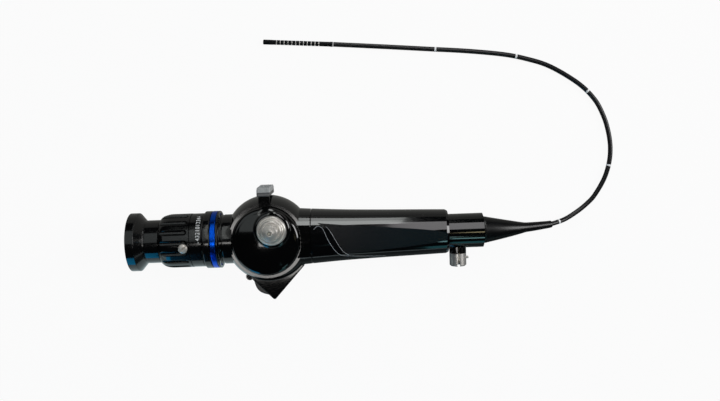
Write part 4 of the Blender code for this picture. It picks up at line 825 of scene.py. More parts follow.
# %% Eyepiece mount
MOUNT_FACE = -27.7
MOUNT_SEAT = -20.1
mount = turned(
    "eyepiece_mount",
    [
        (MOUNT_FACE, 10.5), (MOUNT_FACE, 14.6), (-26.6, 14.6), (-26.6, 14.0), (-25.6, 14.0), (-25.6, 14.6),
        (MOUNT_SEAT, 14.6), (MOUNT_SEAT, 7.7), (-18.2, 7.7), (-18.2, 1.5), (-23.7, 1.5), (-23.7, 10.5),
    ],
    BODY_AXIS,
    ring=True,
)
bevel(mount, 0.2)
dress(mount, ring_black, "eyepiece_mount")

# %% [markdown]
# The ball is turned from a solid bar: a sphere with a flat at the back, a land in front, and a stub for
# the grip. The solid is one union of two turned shapes. The bores and pockets are cut from it in the
# order that a shop would use: the room for the front cover, the bore and socket for the grip, the pocket
# for the eyepiece, the hole through its wall, and a spot for the finger rest.

# %% Ball housing
BALL_R = 25.4
LAND_Z = 12.9
REAR_Z = -17.2
COVER_R = 20.0
low_angle = math.degrees(math.asin(REAR_Z / BALL_R))
high_angle = math.degrees(math.asin(LAND_Z / BALL_R))
ball_side = [(y, x) for x, y in arc((0, 0), BALL_R, low_angle, high_angle, 40)]
ball = turned(
    "ball_housing",
    ball_side + [(LAND_Z, 17.5), (-12.0, 17.5), (-12.0, 13.5), (-14.9, 13.5), (-14.9, 15.3), (REAR_Z, 15.3)],
    PIVOT,
    ring=True,
)
neck_line = [(17.6, 0), (17.6, 16.9), (25.4, 16.3), (25.4, 0)]
carve(ball, turned("neck", neck_line, BODY_AXIS), operation="UNION")
REST_BOSS_AT = (-11.9, -22.2)
at_rest_boss = PIVOT @ Matrix.Translation((REST_BOSS_AT[0] * MM, REST_BOSS_AT[1] * MM, 0))
carve(
    ball,
    rod("cover_room", COVER_R + 0.3, LAND_Z, LAND_Z + 16, PIVOT, steps=FINE),
    rod("bore", 11.3, 17.3, 26, BODY_AXIS),
    rod("socket", 14.0, 22.2, 26, BODY_AXIS, steps=FINE),
    rod("pocket", 14.9, -26, -19.8, BODY_AXIS, steps=FINE),
    rod("wall_hole", 8.0, -20, -17.2, BODY_AXIS),
    rod("boss_room", 2.6, -5, 9, at_rest_boss, steps=SMALL),
)
bevel(ball, 0.2, segments=2, angle=40)
dress(ball, ball_black, "ball_housing")
print("ball", len(ball.data.polygons), "faces")

# %% [markdown]
# The back isn't seen in the photograph. A round plate closes it, held by three slotted screws that are
# sunk so that the instrument can lie on the plate.

# %% Rear cover and its three screws
REAR_SCREWS = 3
SCREW_CIRCLE = 12
rear = rod("rear_cover", 15.0, REAR_Z, REAR_Z + 2.0, PIVOT, steps=FINE)
for number in range(REAR_SCREWS):
    turn = Matrix.Rotation(math.tau * number / REAR_SCREWS, 4, "Z")
    here = PIVOT @ turn @ Matrix.Translation((SCREW_CIRCLE * MM, 0, 0))
    carve(rear, rod("sink", 2.0, REAR_Z - 0.5, REAR_Z + 1.2, here, steps=SMALL))
    head = turned(
        f"cover_screw_{number + 1}",
        [
            (REAR_Z, 0), (REAR_Z, 1.4), (REAR_Z + 0.3, 1.7), (REAR_Z + 0.9, 1.7), (REAR_Z + 0.9, 0.7),
            (REAR_Z + 2, 0.7), (REAR_Z + 2, 0),
        ],
        here,
        steps=SMALL,
    )
    carve(head, block("slot", (-2, -0.35, REAR_Z - 0.3), (2, 0.35, REAR_Z + 0.4), here))
    bevel(head, 0.05)
    dress(head, steel, f"cover_screw_{number + 1}")
bevel(rear, 0.2)
dress(rear, ball_black, "rear_cover")
print("rear cover", len(rear.data.polygons), "faces, screws", REAR_SCREWS)

# %% [markdown]
# The front cover is a shallow dome with a wide rounded rim and a wall. A window in the wall lets the
# lever's arm swing, 38 degrees either way. The light post's boss has a rounded shoulder and is scooped to
# sit on the dome: the same dome, grown by the gap, is taken out of the boss.

# %% Front cover and the light post's boss
COVER_Z = LAND_Z + 0.3
RIM_Z = 14.6
TOP_Z = 19.8
SHOULDER = 16.8
DOME_SPHERE = 67.9
DOME_STEPS = 20
DOME_GAP = 0.3
LEVER_SWING = 38
WINDOW_R = 18.4
WINDOW_HALF = 3.55


def dome_line(grown):
    """The dome with its wide rounded rim, from the wall to the middle, grown by a gap."""
    shoulder_z = TOP_Z - DOME_SPHERE + math.sqrt(DOME_SPHERE**2 - SHOULDER**2)
    rim = arc((0, 0), 1, 0, 90, 14)
    deep, wide = shoulder_z - RIM_Z, COVER_R + grown - SHOULDER
    rim = [(RIM_Z + deep * z + grown, SHOULDER + wide * r) for r, z in rim]
    radii = [SHOULDER * (1 - i / DOME_STEPS) for i in range(1, DOME_STEPS + 1)]
    return rim + [(TOP_Z - DOME_SPHERE + math.sqrt(DOME_SPHERE**2 - r**2) + grown, r) for r in radii]


cover = turned(
    "front_cover",
    [(COVER_Z, COVER_R), *dome_line(0), (18.4, 0), (18.0, 10.5), (15.5, 18.4), (COVER_Z, 18.4)],
    PIVOT,
    ring=True,
)
sweep = LEVER_SWING + math.degrees(math.asin(WINDOW_HALF / WINDOW_R))
sector = arc((0, 0), 21, 90 - sweep, 90 + sweep, 24) + arc((0, 0), 17.5, 90 + sweep, 90 - sweep, 24)
carve(
    cover,
    drawn("lever_window", sector, COVER_Z - 0.4, 15.5, PIVOT),
    rod("post_hole", 5.6, 12, 21, POST),
)
bevel(cover, 0.25, segments=3, angle=24)
dress(cover, ball_black, "front_cover")

boss_shoulder = [(18.9 + 1.9 * math.sin(a), 8.5 + 2.3 * math.cos(a)) for a in quarter(12)]
boss_line = [(LAND_Z, 4.6), (LAND_Z, 10.8), *boss_shoulder, (20.8, 4.6)]
boss = turned("light_post_boss", boss_line, POST, ring=True)
carve(boss, turned("dome", [(0, 0), (0, COVER_R + DOME_GAP), *dome_line(DOME_GAP)], PIVOT))
bevel(boss, 0.15, segments=2, angle=40)
dress(boss, ball_black, "light_post_boss")
print("cover", len(cover.data.polygons), "boss", len(boss.data.polygons), "faces")

# %% [markdown]
# The light post takes the light cable's plug. It is a stack of steps: a wide ring with a groove, a seat,
# a neck, a cone in three steps and a tip with the fibre bundle in it. Every step is small, but seen from
# above each is one more bright circle, and the lathe's marks make more.

# %% Light post and its fibres
post = turned(
    "light_post",
    [
        (21.1, 1.15), (21.1, 8.4), (23.1, 8.4), (23.7, 7.8), (23.7, 7.2), (23.4, 7.0), (23.4, 6.7),
        (23.7, 6.5), (23.7, 6.1), (25.8, 6.1), (26.3, 5.6), (26.3, 5.2), (25.9, 5.0), (25.9, 4.2),
        (28.0, 4.2), (28.0, 3.9), (28.6, 3.9), (28.6, 4.2), (30.0, 4.2), (30.3, 3.9), (30.3, 3.5),
        (30.9, 3.3), (30.9, 2.9), (31.5, 2.7), (31.5, 2.2), (32.0, 1.9), (33.9, 1.9), (33.9, 1.15),
    ],
    POST,
    ring=True,
)
bevel(post, 0.14, segments=2)
dress(post, post_nickel, "light_post")
LIGHT_LINE = [
    (4.2, 7.2, 33.9), (4.2, 7.2, 21.6), (4.9, 6.6, 19.1), (7.1, 5.2, 17.3), (10.1, 3.2, 16.4),
    (12.8, 1.4, 14.9), (15.4, 0.4, 11.2), (17.5, 0.0, 6.7), (21.2, 0.0, 4.6), (25.4, 0.0, 4.2),
    (117.6, 0.0, 4.2),
]
light = curve_tube("light_bundle", [PIVOT @ (Vector(point) * MM) for point in LIGHT_LINE], 0.85, sides=4)
dress_curve(light, fibre_ends, node_slot["light_bundle"], "light_bundle")
print("post", len(post.data.polygons), "faces")

# %% [markdown]
# The lever is a flat arm with a round hub on the pivot. It comes out through the cover's window and
# carries the thumb pad, whose upper front edge is rounded and ribbed so that a wet glove doesn't slip.
# The pad's side view is drawn and extruded across the body, and the gaps between the ribs follow the same
# rounding, sunk by their depth.

# %% Lever arm
ARM_LOW = 13.25
ARM_HIGH = 15.15
ARM_HALF = 3.25
HUB_R = 6.0
hub_meet = math.degrees(math.acos(ARM_HALF / HUB_R))
arm = drawn(
    "lever_arm",
    [(ARM_HALF, 25.9), (2.25, 25.9), (2.25, 29.0), (-2.25, 29.0), (-2.25, 25.9), (-ARM_HALF, 25.9)]
    + arc((0, 0), HUB_R, 180 - hub_meet, 360 + hub_meet, 32),
    ARM_LOW,
    ARM_HIGH,
    PIVOT,
)
carve(arm, rod("bore", 1.8, 13, 16, PIVOT, steps=SMALL))
bevel(arm, 0.25, segments=3)
dress(arm, fin_black, "lever_arm")
print("arm", len(arm.data.polygons), "faces")

# %% Thumb pad
PAD_HALF = 3.85
PAD_IN = 26.2
PAD_SIDE = 30.4
PAD_TOP = 31.3
PAD_FRONT = 17.2
ROUND_Y = 2.5
ROUND_Z = 3.2
RIB_GAPS = 6
RIB_PITCH = 1.15
RIB_GAP = 0.52
RIB_DEPTH = 0.55
ACROSS = PIVOT @ Matrix.Rotation(math.radians(-90), 4, "Y")


def pad_round(depth):
    """The rounding between the pad's front and its top, as (z, y) points, sunk by a depth."""
    z, y = PAD_FRONT - ROUND_Z, PAD_TOP - ROUND_Y
    deep, wide = ROUND_Z - depth, ROUND_Y - depth
    return [(z + deep * math.cos(a), y + wide * math.sin(a)) for a in quarter(12)]


pad = drawn(
    "thumb_pad",
    [(-5.0, PAD_IN), (PAD_FRONT, PAD_IN), *pad_round(0), (-3.0, PAD_TOP), (-5.0, PAD_SIDE)],
    -PAD_HALF,
    PAD_HALF,
    ACROSS,
)
bevel(pad, 0.6, segments=4, angle=50)
gap_side = [(19.0, 28.2), *pad_round(RIB_DEPTH), (-6.0, PAD_TOP - RIB_DEPTH), (-6.0, 33.0), (19.0, 33.0)]
for number in range(RIB_GAPS):
    middle = RIB_PITCH * (number - (RIB_GAPS - 1) / 2)
    carve(pad, drawn("rib_gap", gap_side, middle - RIB_GAP / 2, middle + RIB_GAP / 2, ACROSS))
carve(pad, block("line_under_the_ribs", (-5, 28.1, PAD_FRONT - 0.3), (5, 28.45, PAD_FRONT + 1), PIVOT))
carve(pad, block("tenon_slot", (-2.55, 25.5, 12.95), (2.55, 29.3, 15.45), PIVOT))
bevel(pad, 0.06, segments=1, angle=50)
dress(pad, pad_rubber, "thumb_pad")
print("pad", len(pad.data.polygons), "faces")

# %% [markdown]
# The finger rest is a thick fin under the ball. Its outline is drawn and extruded. The side towards the
# grip gets a flat chamfer along both its edges, and the other edges a small rounding. A moulded rubber
# inlay is set into the edge that the finger pulls on.

# %% Finger rest, its inlay and its screw
REST_BASE = Vector((-10.8, -23.9))
REST_APEX = Vector((2.2, -37.15))
REST_HEEL = Vector((20.8, -16.7))
REST_ROOT = Vector((4.0, -12.0))
REST_HALF = 4.5
REST_TIP = 1.6
REST_CHAMFER = 1.9
HEEL_REACH = 3
edge = (REST_APEX - REST_BASE).normalized()
back = (REST_HEEL - REST_APEX).normalized()
tip_from = REST_APEX - edge * REST_TIP
tip_to = REST_APEX + back * REST_TIP
tip = [tip_from.lerp(REST_APEX, t).lerp(REST_APEX.lerp(tip_to, t), t) for t in [i / 8 for i in range(9)]]
rest = drawn(
    "finger_rest",
    [tuple(p) for p in (REST_BASE, *tip, REST_HEEL, REST_ROOT)],
    -REST_HALF,
    REST_HALF,
    PIVOT,
)
edit(rest)
shape = bmesh.from_edit_mesh(rest.data)
heel_middle = (REST_APEX + REST_HEEL) / 2 * MM
for line in shape.edges:
    middle = (line.verts[0].co + line.verts[1].co) / 2
    near_heel = (middle.xy - heel_middle).length < HEEL_REACH * MM
    line.select_set(near_heel and abs(line.verts[0].co.z - line.verts[1].co.z) < MM)
bmesh.update_edit_mesh(rest.data)
bpy.ops.mesh.bevel(offset=REST_CHAMFER * MM, segments=1, affect="EDGES")
leave(rest)
bevel(rest, 0.5, segments=3, angle=40)
carve(rest, rod("boss", 2.3, -REST_HALF + 0.9, REST_HALF, at_rest_boss, steps=MEDIUM), operation="UNION")
grown_ball = [(y, x) for x, y in arc((0, 0), BALL_R + 0.3, -50, 50, 40)]
carve(
    rest,
    turned("ball_room", [(grown_ball[0][0], 0), *grown_ball, (grown_ball[-1][0], 0)], PIVOT),
    turned("neck_room", [(17.6, 0), (17.6, 17.2), (25.7, 16.6), (25.7, 0)], BODY_AXIS),
    rod("screw_sink", 1.8, 3.4, 5, at_rest_boss, steps=SMALL),
)
along_edge = Matrix.Rotation(math.atan2(edge.y, edge.x), 4, "Z")
inlay_frame = PIVOT @ Matrix.Translation((REST_BASE.x * MM, REST_BASE.y * MM, 0)) @ along_edge
INLAY_START = 1.6
INLAY_STOP = 14.2
INLAY_BULGE = 2.5
INLAY_DEPTH = 1.1
INLAY_HALF = 3.5
INLAY_GAP = 0.15


def inlay_form(name, grown):
    """The inlay along the rest's edge, bulging outwards and let into the edge, grown by a gap."""
    start, stop = INLAY_START - grown, INLAY_STOP + grown
    bulge = [(start + (stop - start) * i / 24, -INLAY_BULGE * math.sin(math.pi * i / 24)) for i in range(25)]
    depth, half = INLAY_DEPTH + grown, INLAY_HALF + grown
    return drawn(name, bulge + [(stop, depth), (start, depth)], -half, half, inlay_frame)


carve(rest, inlay_form("inlay_seat", INLAY_GAP))
dress(rest, fin_black, "finger_rest")
inlay = inlay_form("finger_rest_inlay", 0)
bevel(inlay, 0.9, segments=5, angle=50)
dress(inlay, inlay_rubber, "finger_rest_pad")
rest_screw = rod("finger_rest_screw", 1.5, 3.7, 4.5, at_rest_boss, steps=SMALL)
carve(rest_screw, rod("hexagon", 0.75, 4.0, 4.8, at_rest_boss, steps=6))
bevel(rest_screw, 0.1)
dress(rest_screw, dull_black, "rest_screw")
print("rest", len(rest.data.polygons), "inlay", len(inlay.data.polygons), "faces")

# %% [markdown]
# The grip is turned with a slow waist. Two scoops are milled into it, one facing the viewer and one
# behind: a flat floor that ends towards the ball in a slanting wall shaped like an S. The cutter is that
# shape, and the edge that it leaves is bevelled. The floors get a finish of their own, which turns from
# black to slate along the body.

# %% Grip
GRIP_START = 25.7
GRIP_END = 106.0
WAIST = [(0, 16.3), (19.5, 15.1), (41.8, 14.2), (64.1, 13.5), (78.9, 13.0)]
WAIST_STEPS = 24

side_line = smooth_route([Vector((GRIP_START + x, radius, 0)) for x, radius in WAIST])
waist = [(p.x, p.y) for p in side_line[:: len(side_line) // WAIST_STEPS]]
waist.append((GRIP_START + WAIST[-1][0], WAIST[-1][1]))
grip = turned(
    "grip",
    [(22.8, 11.0), (22.8, 13.7), (GRIP_START, 13.7), (GRIP_START, 15.9), (GRIP_START + 0.4, 16.27)]
    + waist[1:]
    + [(GRIP_END, 12.3), (GRIP_END, 8.3), (GRIP_END - 3, 8.3), (GRIP_END - 3, 11.0)],
    BODY_AXIS,
    ring=True,
)
print("waist points", len(waist))

# %% Scoops and their floors
SCOOP_S = [
    (28.5, 10.9), (32.5, 9.3), (34.8, 8.1), (37.0, 5.4), (39.7, 0.3), (42.4, -4.5), (44.6, -7.5),
    (47.4, -9.3), (54.0, -11.2),
]
SCOOP_END = 106.6
SCOOP_HALF = 10.8
SCOOP_LOW = 12.0
SCOOP_HIGH = 18.0
SCOOP_LEAN = 1.05
SCOOP_TURN = Matrix.Rotation(math.radians(4.5), 4, "X") @ Matrix.Rotation(math.radians(-0.44), 4, "Y")
SLANT_ABOVE = 15
SLANT_BEFORE = 60
FLAT_COSINE = math.cos(math.radians(5))
FLOOR_UNDER = 13.2
FLOOR_AREA = 20


def scoop(side):
    """A block whose end slants and is shaped like an S; side is +1 in front and -1 behind."""
    curve = [(p.x, p.y) for p in smooth_route([Vector((x, y, 0)) for x, y in SCOOP_S])[::6]]
    corners = [(SCOOP_END, -SCOOP_HALF), (SCOOP_END, SCOOP_HALF)]
    piece = drawn("scoop", curve + corners, SCOOP_LOW, SCOOP_HIGH, Matrix())
    edit(piece)
    shape = bmesh.from_edit_mesh(piece.data)
    for vertex in shape.verts:
        vertex.select_set(vertex.co.z > SLANT_ABOVE * MM and vertex.co.x < SLANT_BEFORE * MM)
    shape.select_flush_mode()
    bmesh.update_edit_mesh(piece.data)
    bpy.ops.transform.translate(value=(-SCOOP_LEAN * (SCOOP_HIGH - SCOOP_LOW) * MM, 0, 0))
    leave(piece)
    return place(piece, PIVOT @ Matrix.Scale(side, 4, (0, 0, 1)) @ SCOOP_TURN)


for side in (1, -1):
    carve(grip, scoop(side))
bevel(grip, 0.3, segments=3, angle=9)
scoop_floor = deepening("scoop floor", (0.0005, 0.001, 0.003), (0.003, 0.010, 0.014), 36, 80)
grip.data.materials.append(grip_black)
grip.data.materials.append(scoop_floor)
edit(grip)
bpy.ops.mesh.select_all(action="DESELECT")
shape = bmesh.from_edit_mesh(grip.data)
for face in shape.faces:
    low = abs(face.calc_center_median().z - AXIS_Z) < FLOOR_UNDER * MM
    face.select_set(abs(face.normal.z) > FLAT_COSINE and low and face.calc_area() > FLOOR_AREA * MM * MM)
bmesh.update_edit_mesh(grip.data)
grip.active_material_index = 1
bpy.ops.object.material_slot_assign()
leave(grip)
dress(grip, grip_black, "grip_shell")
print("grip", len(grip.data.polygons), "faces")

# %% [markdown]
# Two fine raised lines edge the scoop on each side, pale grey as a painted highlight for the bright double
# line
# along its edges: one follows the foot of its slanting wall, the other the wall's crest, and runs on along
# the scoop's lower border. Each is a thin curve with a round bevel.

# %% Raised lines round the scoop
CREST = [
    (27.7, 6.01, 15.02), (28.5, 6.79, 14.63), (29.7, 7.54, 14.18), (31.4, 7.32, 14.17),
    (33.1, 5.76, 14.76), (34.7, 2.06, 15.61), (36.3, -1.50, 15.58), (38.4, -5.26, 14.60),
    (39.9, -7.48, 13.49), (41.6, -9.33, 12.15), (43.9, -10.51, 10.96), (51.4, -11.33, 9.60),
    (60.8, -11.93, 8.20), (69.0, -12.35, 6.90),
]
LINE_R = 0.13
# Painted highlight: a pale grey lacquer on the lines stands for the light that the scoop's edges catch.
painted_highlight_grey = lacquer("painted edge highlight", (0.30, 0.32, 0.34), 0.3, 0.002)
foot = [SCOOP_TURN @ Vector((x, y, SCOOP_LOW)) for x, y in SCOOP_S[2:-1]]
for side, where in ((1, "front"), (-1, "rear")):
    mirror = PIVOT @ Matrix.Scale(side, 4, (0, 0, 1))
    for name, line in (("crest", [Vector(point) for point in CREST]), ("foot", foot)):
        points = [mirror @ point for point in smooth_route([point * MM for point in line])[::4]]
        raised = curve_tube(f"{where}_scoop_{name}", points, LINE_R, sides=4)
        dress_curve(raised, painted_highlight_grey, node_slot["grip_shell"])
        print(raised.name, len(points), "points")

# %% [markdown]
# The collar at the grip's far end carries the vent connector, which points down the picture: a stub, a
# pipe and a bright bayonet sleeve with two slots and a pin.

# %% Collar and the vent's stub
COLLAR_START = 106.3
COLLAR_END = 126.8
collar = turned(
    "distal_collar",
    [
        (102.7, 7.2), (102.7, 8.0), (COLLAR_START, 8.0), (COLLAR_START, 10.1), (COLLAR_END, 10.1),
        (COLLAR_END, 6.0), (131.5, 6.0), (131.5, 4.0), (124.0, 4.0), (124.0, 7.2),
    ],
    BODY_AXIS,
    ring=True,
)
carve(collar, rod("port_hole", 3.3, 3.6, 20, PORT, steps=SMALL))
bevel(collar, 0.4, segments=3, angle=40)
dress(collar, grip_black, "distal_collar")
stub = rod("vent_stub", 4.95, 7.2, 13.0, PORT)
carve(stub, rod("collar_room", 10.4, COLLAR_START - 1, COLLAR_END + 1, BODY_AXIS, steps=FINE))
carve(stub, rod("vent_pipe", 3.0, 7.6, 15.2, PORT), operation="UNION")
carve(stub, rod("vent_bore", 1.5, 0, 21, PORT, steps=SMALL))
bevel(stub, 0.3, segments=3, angle=50)
dress(stub, ring_black, "vent_stub")

# %% Vent sleeve, pin and plunger
VENT_START = 13.3
VENT_END = 20.9
sleeve = turned(
    "vent_sleeve",
    [(VENT_START, 3.3), (VENT_START, 4.95), (20.3, 4.95), (VENT_END, 4.35), (VENT_END, 3.3)],
    PORT,
    ring=True,
)
for number in range(2):
    here = PORT @ Matrix.Rotation(math.pi / 2 + math.pi * number, 4, "Z")
    carve(sleeve, block("slot", (3.1, -0.8, VENT_END - 3.6), (6, 0.8, VENT_END + 1), here))
across = PORT @ Matrix.Translation((0, 0, (VENT_START + 2.8) * MM)) @ Matrix.Rotation(math.pi / 2, 4, "Y")
carve(sleeve, rod("pin_hole", 1.0, 0, 10, across, steps=SMALL))
bevel(sleeve, 0.12, segments=2, angle=40)
dress(sleeve, vent_nickel, "vent_sleeve")
pin = rod("bayonet_pin", 0.7, 3.6, 6.25, across, steps=SMALL)
bevel(pin, 0.2, segments=3)
dress(pin, vent_nickel, "bayonet_pin")
plunger_line = [(8.4, 0), (8.4, 1.1), (17.2, 1.1), (17.2, 2.9), (20.0, 2.9), (20.0, 0)]
plunger = turned("vent_plunger", plunger_line, PORT)
bevel(plunger, 0.3, segments=3)
dress(plunger, steel, "vent_plunger")
print("vent sleeve", len(sleeve.data.polygons), "faces")

# %% [markdown]
# The boot keeps the tube from kinking at the collar. It follows the same route as the tube, so it is
# swept: one circle is copied along the route, square to it, and the circles are bridged into a skin.

# %% Boot
BOOT_LENGTH = 44.0
BOOT_RADII = [(0.0, 8.1), (26.0, 2.9), (BOOT_LENGTH, 2.1)]
BOOT_SIDES = 48
BOOT_RINGS = 40


def radius_at(distance, table):
    """The radius at a distance, straight between the rows of a table."""
    for (a, ra), (b, rb) in zip(table, table[1:]):
        if distance <= b:
            return ra + (rb - ra) * (distance - a) / (b - a)
    return table[-1][1]


def swept(name, centres, radii):
    """Circles along a line of points in metres, each square to it, bridged into a skin with open ends."""
    rings = []
    for number, (centre, radius) in enumerate(zip(centres, radii)):
        before = centres[max(number - 1, 0)]
        after = centres[min(number + 1, len(centres) - 1)]
        heading = (after - before).normalized()
        bpy.ops.object.select_all(action="DESELECT")
        bpy.ops.mesh.primitive_circle_add(vertices=BOOT_SIDES, radius=radius * MM)
        ring = bpy.context.active_object
        side = (Vector((0, 1, 0)) - heading * heading.y).normalized()
        up = heading.cross(side)
        rings.append(place(ring, Matrix((
            (side.x, up.x, heading.x, centre.x),
            (side.y, up.y, heading.y, centre.y),
            (side.z, up.z, heading.z, centre.z),
            (0, 0, 0, 1),
        ))))
    piece = joined(rings)
    piece.name = name
    edit(piece)
    bpy.ops.mesh.bridge_edge_loops()
    return leave(piece)


distances = [BOOT_LENGTH * i / BOOT_RINGS for i in range(1, BOOT_RINGS)]
distances = [0.0, 0.25, 0.9, *distances, 43.6, BOOT_LENGTH]
radii = [radius_at(d, BOOT_RADII) for d in distances]
for number, less in ((0, 0.6), (1, 0.2), (-1, 0.3)):  # the rounded rims at both ends
    radii[number] -= less
boot = swept("boot", walk(route, [d * MM for d in distances]), radii)
edit(boot)
bpy.ops.mesh.select_all(action="DESELECT")
bpy.ops.mesh.select_non_manifold()
bpy.ops.mesh.edge_face_add()
bpy.ops.mesh.select_all(action="SELECT")
bpy.ops.mesh.normals_make_consistent(inside=False)
leave(boot)
carve(boot, rod("nose_room", 6.3, 126.0, 131.8, BODY_AXIS))
dress(boot, boot_rubber, "strain_relief_boot")
print("boot", len(boot.data.polygons), "faces")

# %% [markdown]
# The bending section is a chain of short links with riveted ears, so each link is made once and copied.
# The outer ears of a link lie over the inner ears of the one before it, and a bright rivet head marks the
# hinge above and below. The frame of each hinge stands where the CAD joint stands.

# %% Sleeve, links and tip
HEADING = math.radians(176.0)
SLEEVE_LENGTH = 8.3
PITCH = 2.3
LINKS = 11
HALF_GAP = 0.17
LINK_R = 1.4
BORE_R = 0.65
EAR_R = 0.5
EAR_NECK = 0.3
EAR_ROOT = 1.4
NOTCH_R = EAR_R + 0.1
CHAIN_GAP = 0.3
OUTER_EARS = (1.08, 1.38)
INNER_EARS = (0.48, 0.78)
ALONG = Matrix.Rotation(math.pi / 2, 4, "Y")


def chain_frame(along):
    """A frame on the bending section whose +X runs to the tip, so many millimetres from the tube's end."""
    start = Matrix.Translation(route[-1]) @ Matrix.Rotation(HEADING, 4, "Z")
    return start @ Matrix.Translation(((along + CHAIN_GAP) * MM, 0, 0))


def ear(hinge, root, low, high):
    """A flat ear with a round end at the hinge and a neck back to its rim."""
    toward = 1 if root > hinge else -1
    swing = math.degrees(math.asin(EAR_NECK / EAR_R))
    start = swing if toward > 0 else 180 + swing
    outline = arc((hinge, 0), EAR_R, start, start + 360 - 2 * swing, 16)
    neck = [(root, -toward * EAR_NECK), (root, toward * EAR_NECK)]
    return drawn("ear", outline + neck, low, high, Matrix())


def add_ears(piece, hinge, root, levels):
    """Clear the room round a hinge and add two ears there, one above and one below the axis."""
    low, high = levels
    carve(piece, rod("notch", NOTCH_R, -2.8, 2.8, Matrix.Translation((hinge * MM, 0, 0)), steps=SMALL))
    carve(piece, ear(hinge, root, low, high), operation="UNION")
    carve(piece, ear(hinge, root, -high, -low), operation="UNION")


def with_rivets(piece):
    """Bevel a piece, give it its finish, and join the two domed rivet heads of its own hinge to it."""
    bevel(piece, 0.04, segments=2, angle=40)
    piece.data.materials.append(link_steel)
    heads = []
    for angle in (0, math.pi):
        turn = Matrix.Rotation(angle, 4, "X")
        head = turned("rivet", [(1.0, 0), (1.0, 0.34), (1.38, 0.34), (1.43, 0.26), (1.46, 0)], turn, steps=16)
        head.data.materials.append(screw_nickel)
        heads.append(head)
    return joined([piece, *heads])


link_steel = metal("satin black link", (0.02, 0.021, 0.023), 0.34)
link = turned(
    "bending_link",
    [(HALF_GAP, BORE_R), (HALF_GAP, LINK_R), (PITCH - HALF_GAP, LINK_R), (PITCH - HALF_GAP, BORE_R)],
    ALONG,
    steps=SMALL,
    ring=True,
)
add_ears(link, 0, EAR_ROOT, OUTER_EARS)
add_ears(link, PITCH, PITCH - EAR_ROOT, INNER_EARS)
link = with_rivets(link)
links = copies(link, [chain_frame(SLEEVE_LENGTH + PITCH * i) for i in range(LINKS)])
for number, piece in enumerate(links, 1):
    dress(piece, link_steel, f"bending_link_{number:02d}")

sleeve_end = SLEEVE_LENGTH - HALF_GAP
bending_sleeve = turned(
    "bending_sleeve",
    [
        (0, BORE_R), (0, LINK_R), (0.1, 1.5), (1.7, 1.5), (1.8, LINK_R), (sleeve_end, LINK_R),
        (sleeve_end, BORE_R),
    ],
    ALONG,
    steps=MEDIUM,
    ring=True,
)
add_ears(bending_sleeve, SLEEVE_LENGTH, SLEEVE_LENGTH - EAR_ROOT, INNER_EARS)
bevel(bending_sleeve, 0.04, angle=40)
place(bending_sleeve, chain_frame(0))
dress(bending_sleeve, link_steel, "bending_sleeve")

tip_frame = chain_frame(SLEEVE_LENGTH + PITCH * LINKS)
distal = turned(
    "distal_tip",
    [
        (HALF_GAP, 0), (HALF_GAP, 1.4), (PITCH, 1.4), (PITCH + 0.05, 1.45), (7.6, 1.45), (7.9, 1.2),
        (7.9, 0.75), (6.7, 0.75), (6.7, 0),
    ],
    ALONG,
    steps=MEDIUM,
)
carve(distal, rod("bore", BORE_R, -2, PITCH / 2, ALONG, steps=SMALL))
add_ears(distal, 0, EAR_ROOT, OUTER_EARS)
distal = with_rivets(distal)
place(distal, tip_frame)
dress(distal, link_steel, "distal_tip")
objective_line = [(7.0, 0), (7.0, 0.6), (7.8, 0.6), (7.87, 0.4), (7.9, 0)]
objective = turned("objective_lens", objective_line, ALONG, steps=SMALL)
place(objective, tip_frame)
dress(objective, lens_glass, "objective_lens")
print("links", len(links), "faces of one", len(links[0].data.polygons))

# %% [markdown]
# The point where the tube leaves the collar, at the tube's start.

tuple(walk(route, [TUBE_START])[0])

# %% [markdown]
# The pieces inside keep the CAD model's own meshes: nobody sees them until the lever's window or the
# eyepiece is looked into. They still get the right metal.

# %% Finishes of the inner pieces
INNER = {
    "eyepiece_barrel": steel, "lens_cell": brass, "ocular_lens": lens_glass, "chassis": steel,
    "pivot_axle": steel, "wire_drum": brass, "hub_nut": steel,
    "pull_wire_left": steel, "pull_wire_right": steel,
    "coil_pipe_left": dark_steel, "coil_pipe_right": dark_steel, "stay_plate": brass, "tube_anchor": brass,
    "image_bundle": fibre_ends, "grip_seal": boot_rubber,
}
for name, look in INNER.items():
    nodes[name].data.materials.clear()
    nodes[name].data.materials.append(look)
print("inner pieces", len(INNER))

# %% [markdown]
# The photograph's ground is nearly white, with hardly a shadow. A floor that gives off white light
# towards the camera does that, while a small diffuse share keeps a faint trace of where things rest. In
# mirrors the floor is a painted reflection: it glows grey, warm behind and cool in front, with a painted
# shadow, darkest beside the ball and the grip.

# %% Floor
FLOOR_SIZE = 3.0
FLOOR_GLOW = 0.94
SHADOW_FROM_X = -0.02
SHADOW_FROM_Y = -0.3
bpy.ops.mesh.primitive_plane_add(size=FLOOR_SIZE)
floor = bpy.context.active_object
floor.name = "table"
edit(floor)
bpy.ops.mesh.subdivide(number_cuts=3)
leave(floor)
paper = Finish("white table", (0.8, 0.8, 0.8), 0.6)
grain = paper.noise(2.0, 3.0)
paper.set("Base Color", paper.mixed(grain, (0.80, 0.80, 0.81), (0.86, 0.86, 0.87)))
ray = paper.tree.nodes.new("ShaderNodeLightPath")
seen = Wire(paper, ray.outputs["Is Camera Ray"]) + Wire(paper, ray.outputs["Is Transmission Ray"])
mirrored = Wire(paper, ray.outputs["Is Glossy Ray"])


def glow(colour, strength):
    return paper.node("ShaderNodeEmission", {}, {"Color": (*colour, 1), "Strength": strength})
